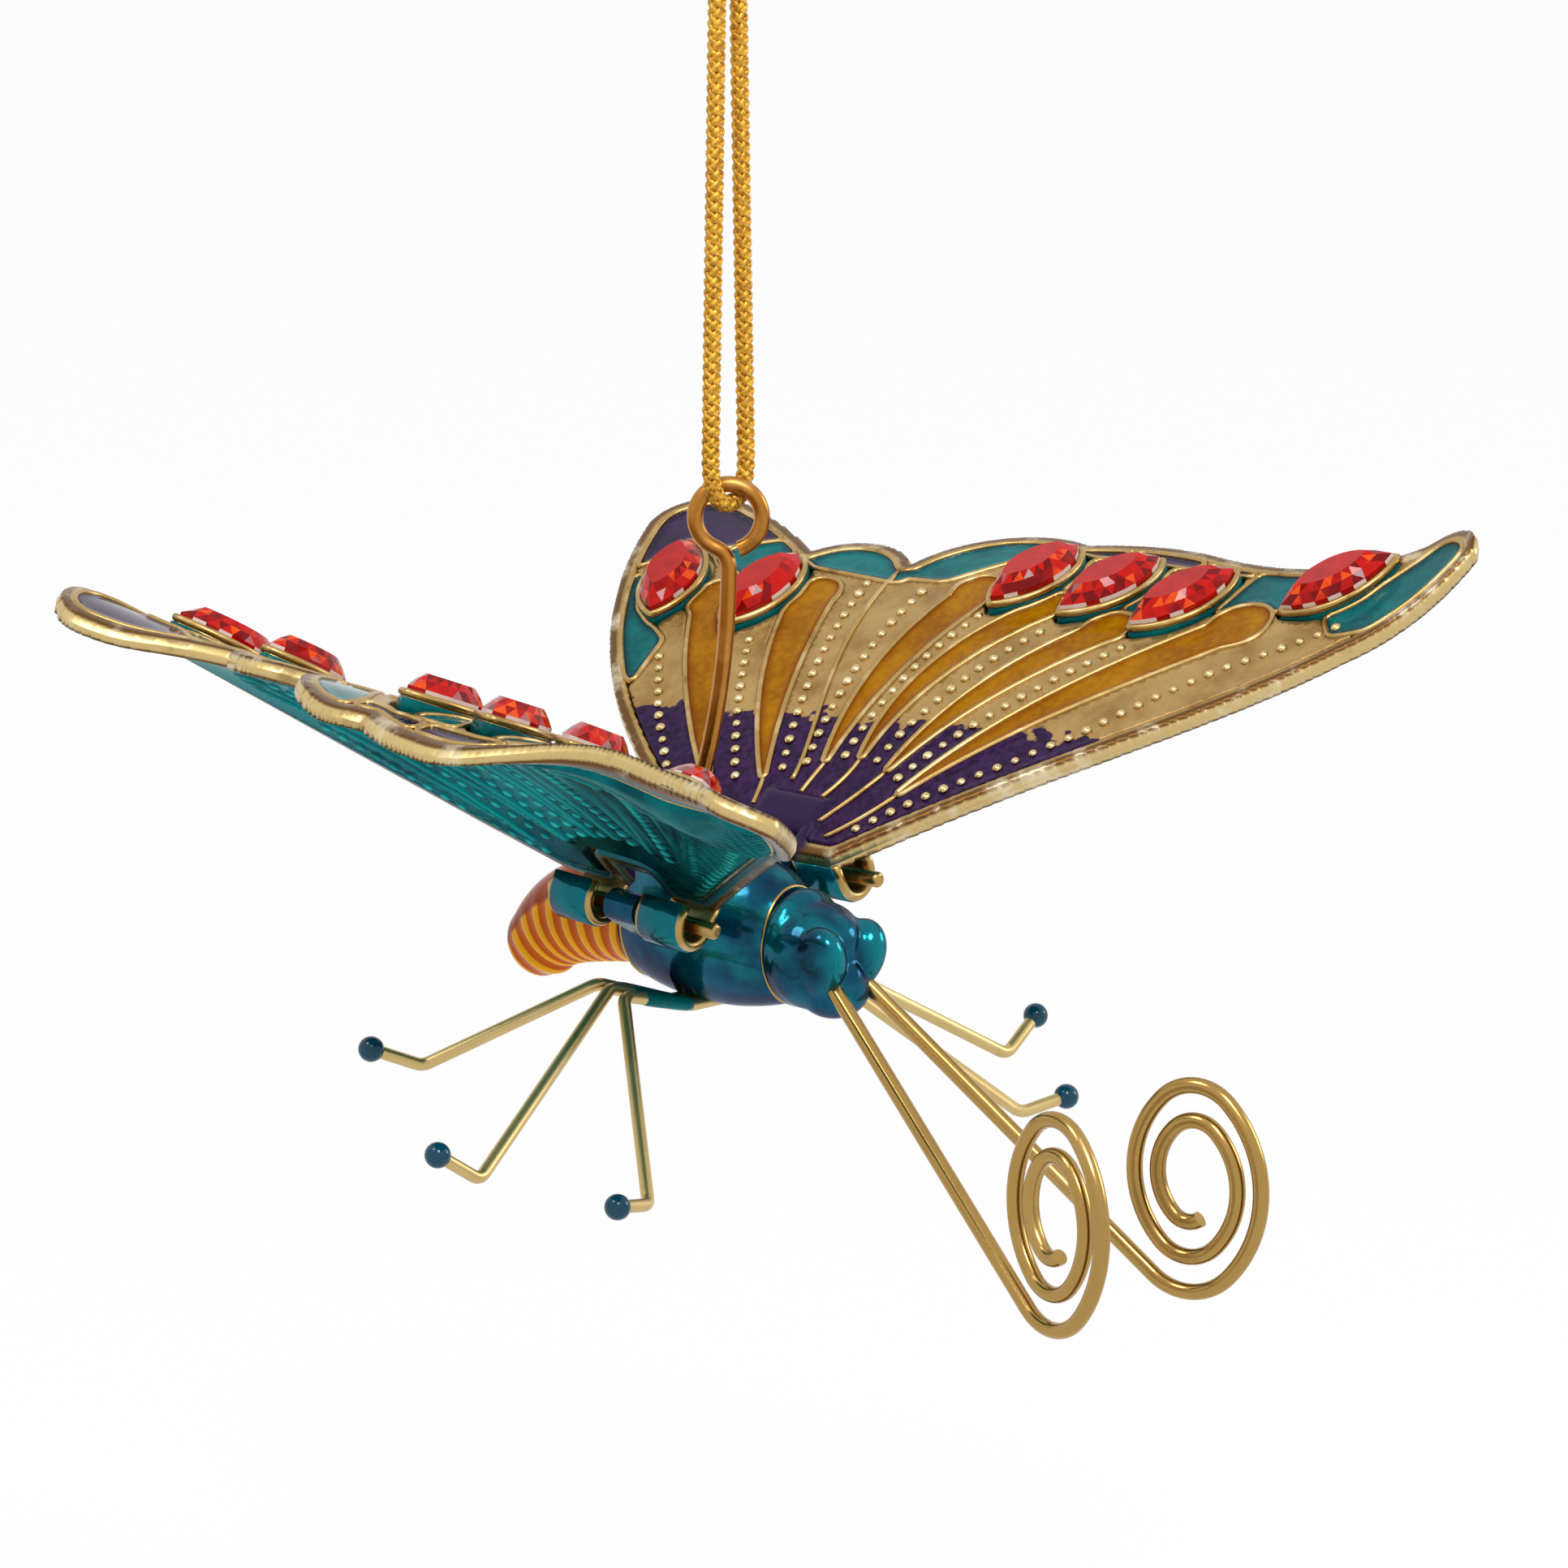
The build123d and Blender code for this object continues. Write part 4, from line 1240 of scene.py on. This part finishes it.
def grown(name, stock):
    mesh = bpy.data.meshes.new(name)
    mesh.from_pydata([tuple(v) for v in fromDatum(stock.verts)], [], stock.faces)
    source = linked(name, mesh)
    remesh = source.modifiers.new("join", "REMESH")
    remesh.mode = "VOXEL"
    remesh.voxel_size = head["voxel"] * mm
    soft = source.modifiers.new("soften", "SMOOTH")
    soft.iterations = head["smooth"]
    soft.factor = head["smoothFactor"]
    bpy.context.view_layer.update()
    made = bpy.data.meshes.new_from_object(source.evaluated_get(bpy.context.evaluated_depsgraph_get()))
    verts = np.array([tuple(v.co) for v in made.vertices])
    faces = [tuple(f.vertices) for f in made.polygons]
    bpy.data.objects.remove(source)
    bpy.data.meshes.remove(made)
    return verts, faces


def headPiece():
    stock = Stock()
    for form in head["forms"]:
        stock.put(*ellipsoid(*form))
    for mirror in (1.0, -1.0):
        stock.put(*ellipsoid(*head["eye"], mirror))
    verts, faces = grown("headForms", stock)
    verts[:, 1] = np.minimum(verts[:, 1], fromDatum((0, head["neck"], 0))[1])
    # dome: painted highlight, brightest a little above each eye's middle
    dome = np.zeros(len(verts))
    (x, y, z), radii = head["eye"][:2]
    for mirror in (1.0, -1.0):
        off = (verts - fromDatum((x * mirror, y, z + head["highlightLift"]))) / (np.array(radii) * mm)
        off = np.linalg.norm(off * np.array(head["highlightShape"]), axis=1)
        dome = np.maximum(dome, np.clip(head["highlightReach"] - off, 0, 1))
    return newPiece("head_casting", verts, faces, "body", "body_enamel", "body", ["head"], {"dome": dome})


headPiece()


# (distance back, level, half width, half height)
seams = {"rings": [(-1.5, -6.1, 2.83, 3.61), (9.9, -5.75, 3.38, 3.82)], "radius": 0.12, "points": 72}


def bodySeams():
    stock = Stock()
    turn = np.arange(seams["points"]) * 2 * pi / seams["points"]
    for distance, level, wide, tall in seams["rings"]:
        x, z = wide * np.cos(turn), level + tall * np.sin(turn)
        ring = np.column_stack([x, np.full(len(turn), distance), z])
        stock.put(*tube(ring, seams["radius"], closed=True, up=(0, 1, 0)))
    return newPiece("body_seams", fromDatum(stock.verts), stock.faces, "wire", "gold", "body")


bodySeams()

legs = {
    "radius": 0.47, "taper": 0.06, "taperPower": 6, "points": 14, "sides": 12,
    "hollow": 2.5, "level": -10.35,
    "runs": [(4.7, (8.2, 5.1, -9.0)), (5.7, (8.4, 6.0, -8.6)), (6.7, (8.6, 6.9, -8.4))],
    "span": (0.3, 0.97),
}


def legSleeves():
    stock = Stock()
    share = np.linspace(*legs["span"], legs["points"])[:, None]
    ends = np.abs(np.linspace(-1, 1, legs["points"]))
    swell = legs["radius"] - legs["taper"] * ends ** legs["taperPower"]
    for distance, bend in legs["runs"]:
        for mirror in (1.0, -1.0):
            outer = np.array([bend[0] * mirror, bend[1], bend[2]])
            inner = np.array([legs["hollow"] * mirror, distance, legs["level"]])
            stock.put(*tube(outer + (inner - outer) * share, swell, legs["sides"], False, (0, 1, 0)))
    return newPiece("leg_enamel", fromDatum(stock.verts), stock.faces, "teal", "body_enamel", "body", (),
                    {"gap": 1.0})


legSleeves()
print("body finished")


# CAD pieces that keep their own form

kept = {
    "gold": ["left_hinge_rod", "right_hinge_rod"], "stem": ["hanger_eye"], "body": ["thorax"],
    "wire": ["left_antenna", "right_antenna"],
    "leg": [f"{run}_leg_wire" for run in ("front", "middle", "rear")],
    "foot": [f"{run}_foot_{side}" for run in ("front", "middle", "rear") for side in sides],
}
for finish, nodes in kept.items():
    for node in nodes:
        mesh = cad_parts[node].data
        mesh.materials.clear()
        mesh.materials.append(materials[finish])
print("kept nodes finished")


# Stage, light and camera

stage = {"floor": -70.0, "reach": 6.0, "white": 0.92, "glow": 0.95}


def stageMaterial():
    material, shade = newMaterial("paleFloor", stage)
    plain = shade.add("ShaderNodeBsdfDiffuse", {}, {"Color": (stage["white"],) * 3})
    glow = shade.add("ShaderNodeEmission", {}, {"Color": (1.0, 1.0, 1.0), "Strength": 1.0})
    surface = shade.add("ShaderNodeMixShader", {}, {0: shade.seen() * stage["glow"], 1: plain, 2: glow})
    shade.add("ShaderNodeOutputMaterial", {}, {"Surface": surface})
    return material


def makeStage():
    reach = stage["reach"]
    level = fromDatum((0, 0, stage["floor"]))[2]
    corners = [(-reach, -reach), (reach, -reach), (reach, reach), (-reach, reach)]
    mesh = bpy.data.meshes.new("floor")
    mesh.from_pydata([(*corner, level) for corner in corners], [], [(0, 1, 2, 3)])
    mesh.materials.append(stageMaterial())
    linked("floor", mesh)


lamps = [
    {"name": "key", "at": (-0.28, -0.42, 0.5), "size": 0.2, "power": 2.4},
    {"name": "fill", "at": (0.5, -0.35, 0.2), "size": 0.26, "power": 0.9},
    {"name": "top", "at": (-0.4, 0.12, 0.6), "size": 0.24, "power": 1.3},
]
worldLight = {"strength": 0.45, "aim": (0, 2, -4)}
photo = {
    "azimuth": 47.5, "elevation": 10.6, "distance": 462.0, "focal": 173.2, "sensor": 36.0,
    "shiftX": 0.0054, "shiftY": 0.0379, "near": 0.01, "far": 20.0,
}


def makeLight():
    middle = Vector(fromDatum(worldLight["aim"]))
    for lamp in lamps:
        data = bpy.data.lights.new(lamp["name"], "AREA")
        data.shape = "DISK"
        data.size = lamp["size"]
        data.energy = lamp["power"]
        light = linked(lamp["name"], data)
        light.location = middle + Vector(lamp["at"])
        light.rotation_euler = (middle - light.location).to_track_quat("-Z", "Y").to_euler()
    world = bpy.data.worlds.new("studio")
    world.use_nodes = True
    world.node_tree.nodes.clear()
    shade = Shade(world.node_tree, worldLight)
    strength = worldLight["strength"] + shade.seen() * (1.0 - worldLight["strength"])
    glow = shade.add("ShaderNodeBackground", {}, {"Color": (1.0, 1.0, 1.0), "Strength": strength})
    shade.add("ShaderNodeOutputWorld", {}, {"Surface": glow})
    bpy.context.scene.world = world


def makeCamera():
    azimuth, elevation = radians(photo["azimuth"]), radians(photo["elevation"])
    away = Vector((-sin(azimuth) * cos(elevation), -cos(azimuth) * cos(elevation), sin(elevation)))
    data = bpy.data.cameras.new("photoCamera")
    data.sensor_width = photo["sensor"]
    data.lens = photo["focal"]
    data.shift_x = photo["shiftX"]
    data.shift_y = photo["shiftY"]
    data.clip_start = photo["near"]
    data.clip_end = photo["far"]
    camera = linked("photoCamera", data)
    camera.location = Vector(fromDatum((0, 0, 0))) + away * photo["distance"] * mm
    camera.rotation_euler = (-away).to_track_quat("-Z", "Y").to_euler()
    bpy.context.scene.camera = camera


makeStage()
makeLight()
makeCamera()
bpy.context.scene.view_settings.view_transform = "Standard"
print("stage ready")
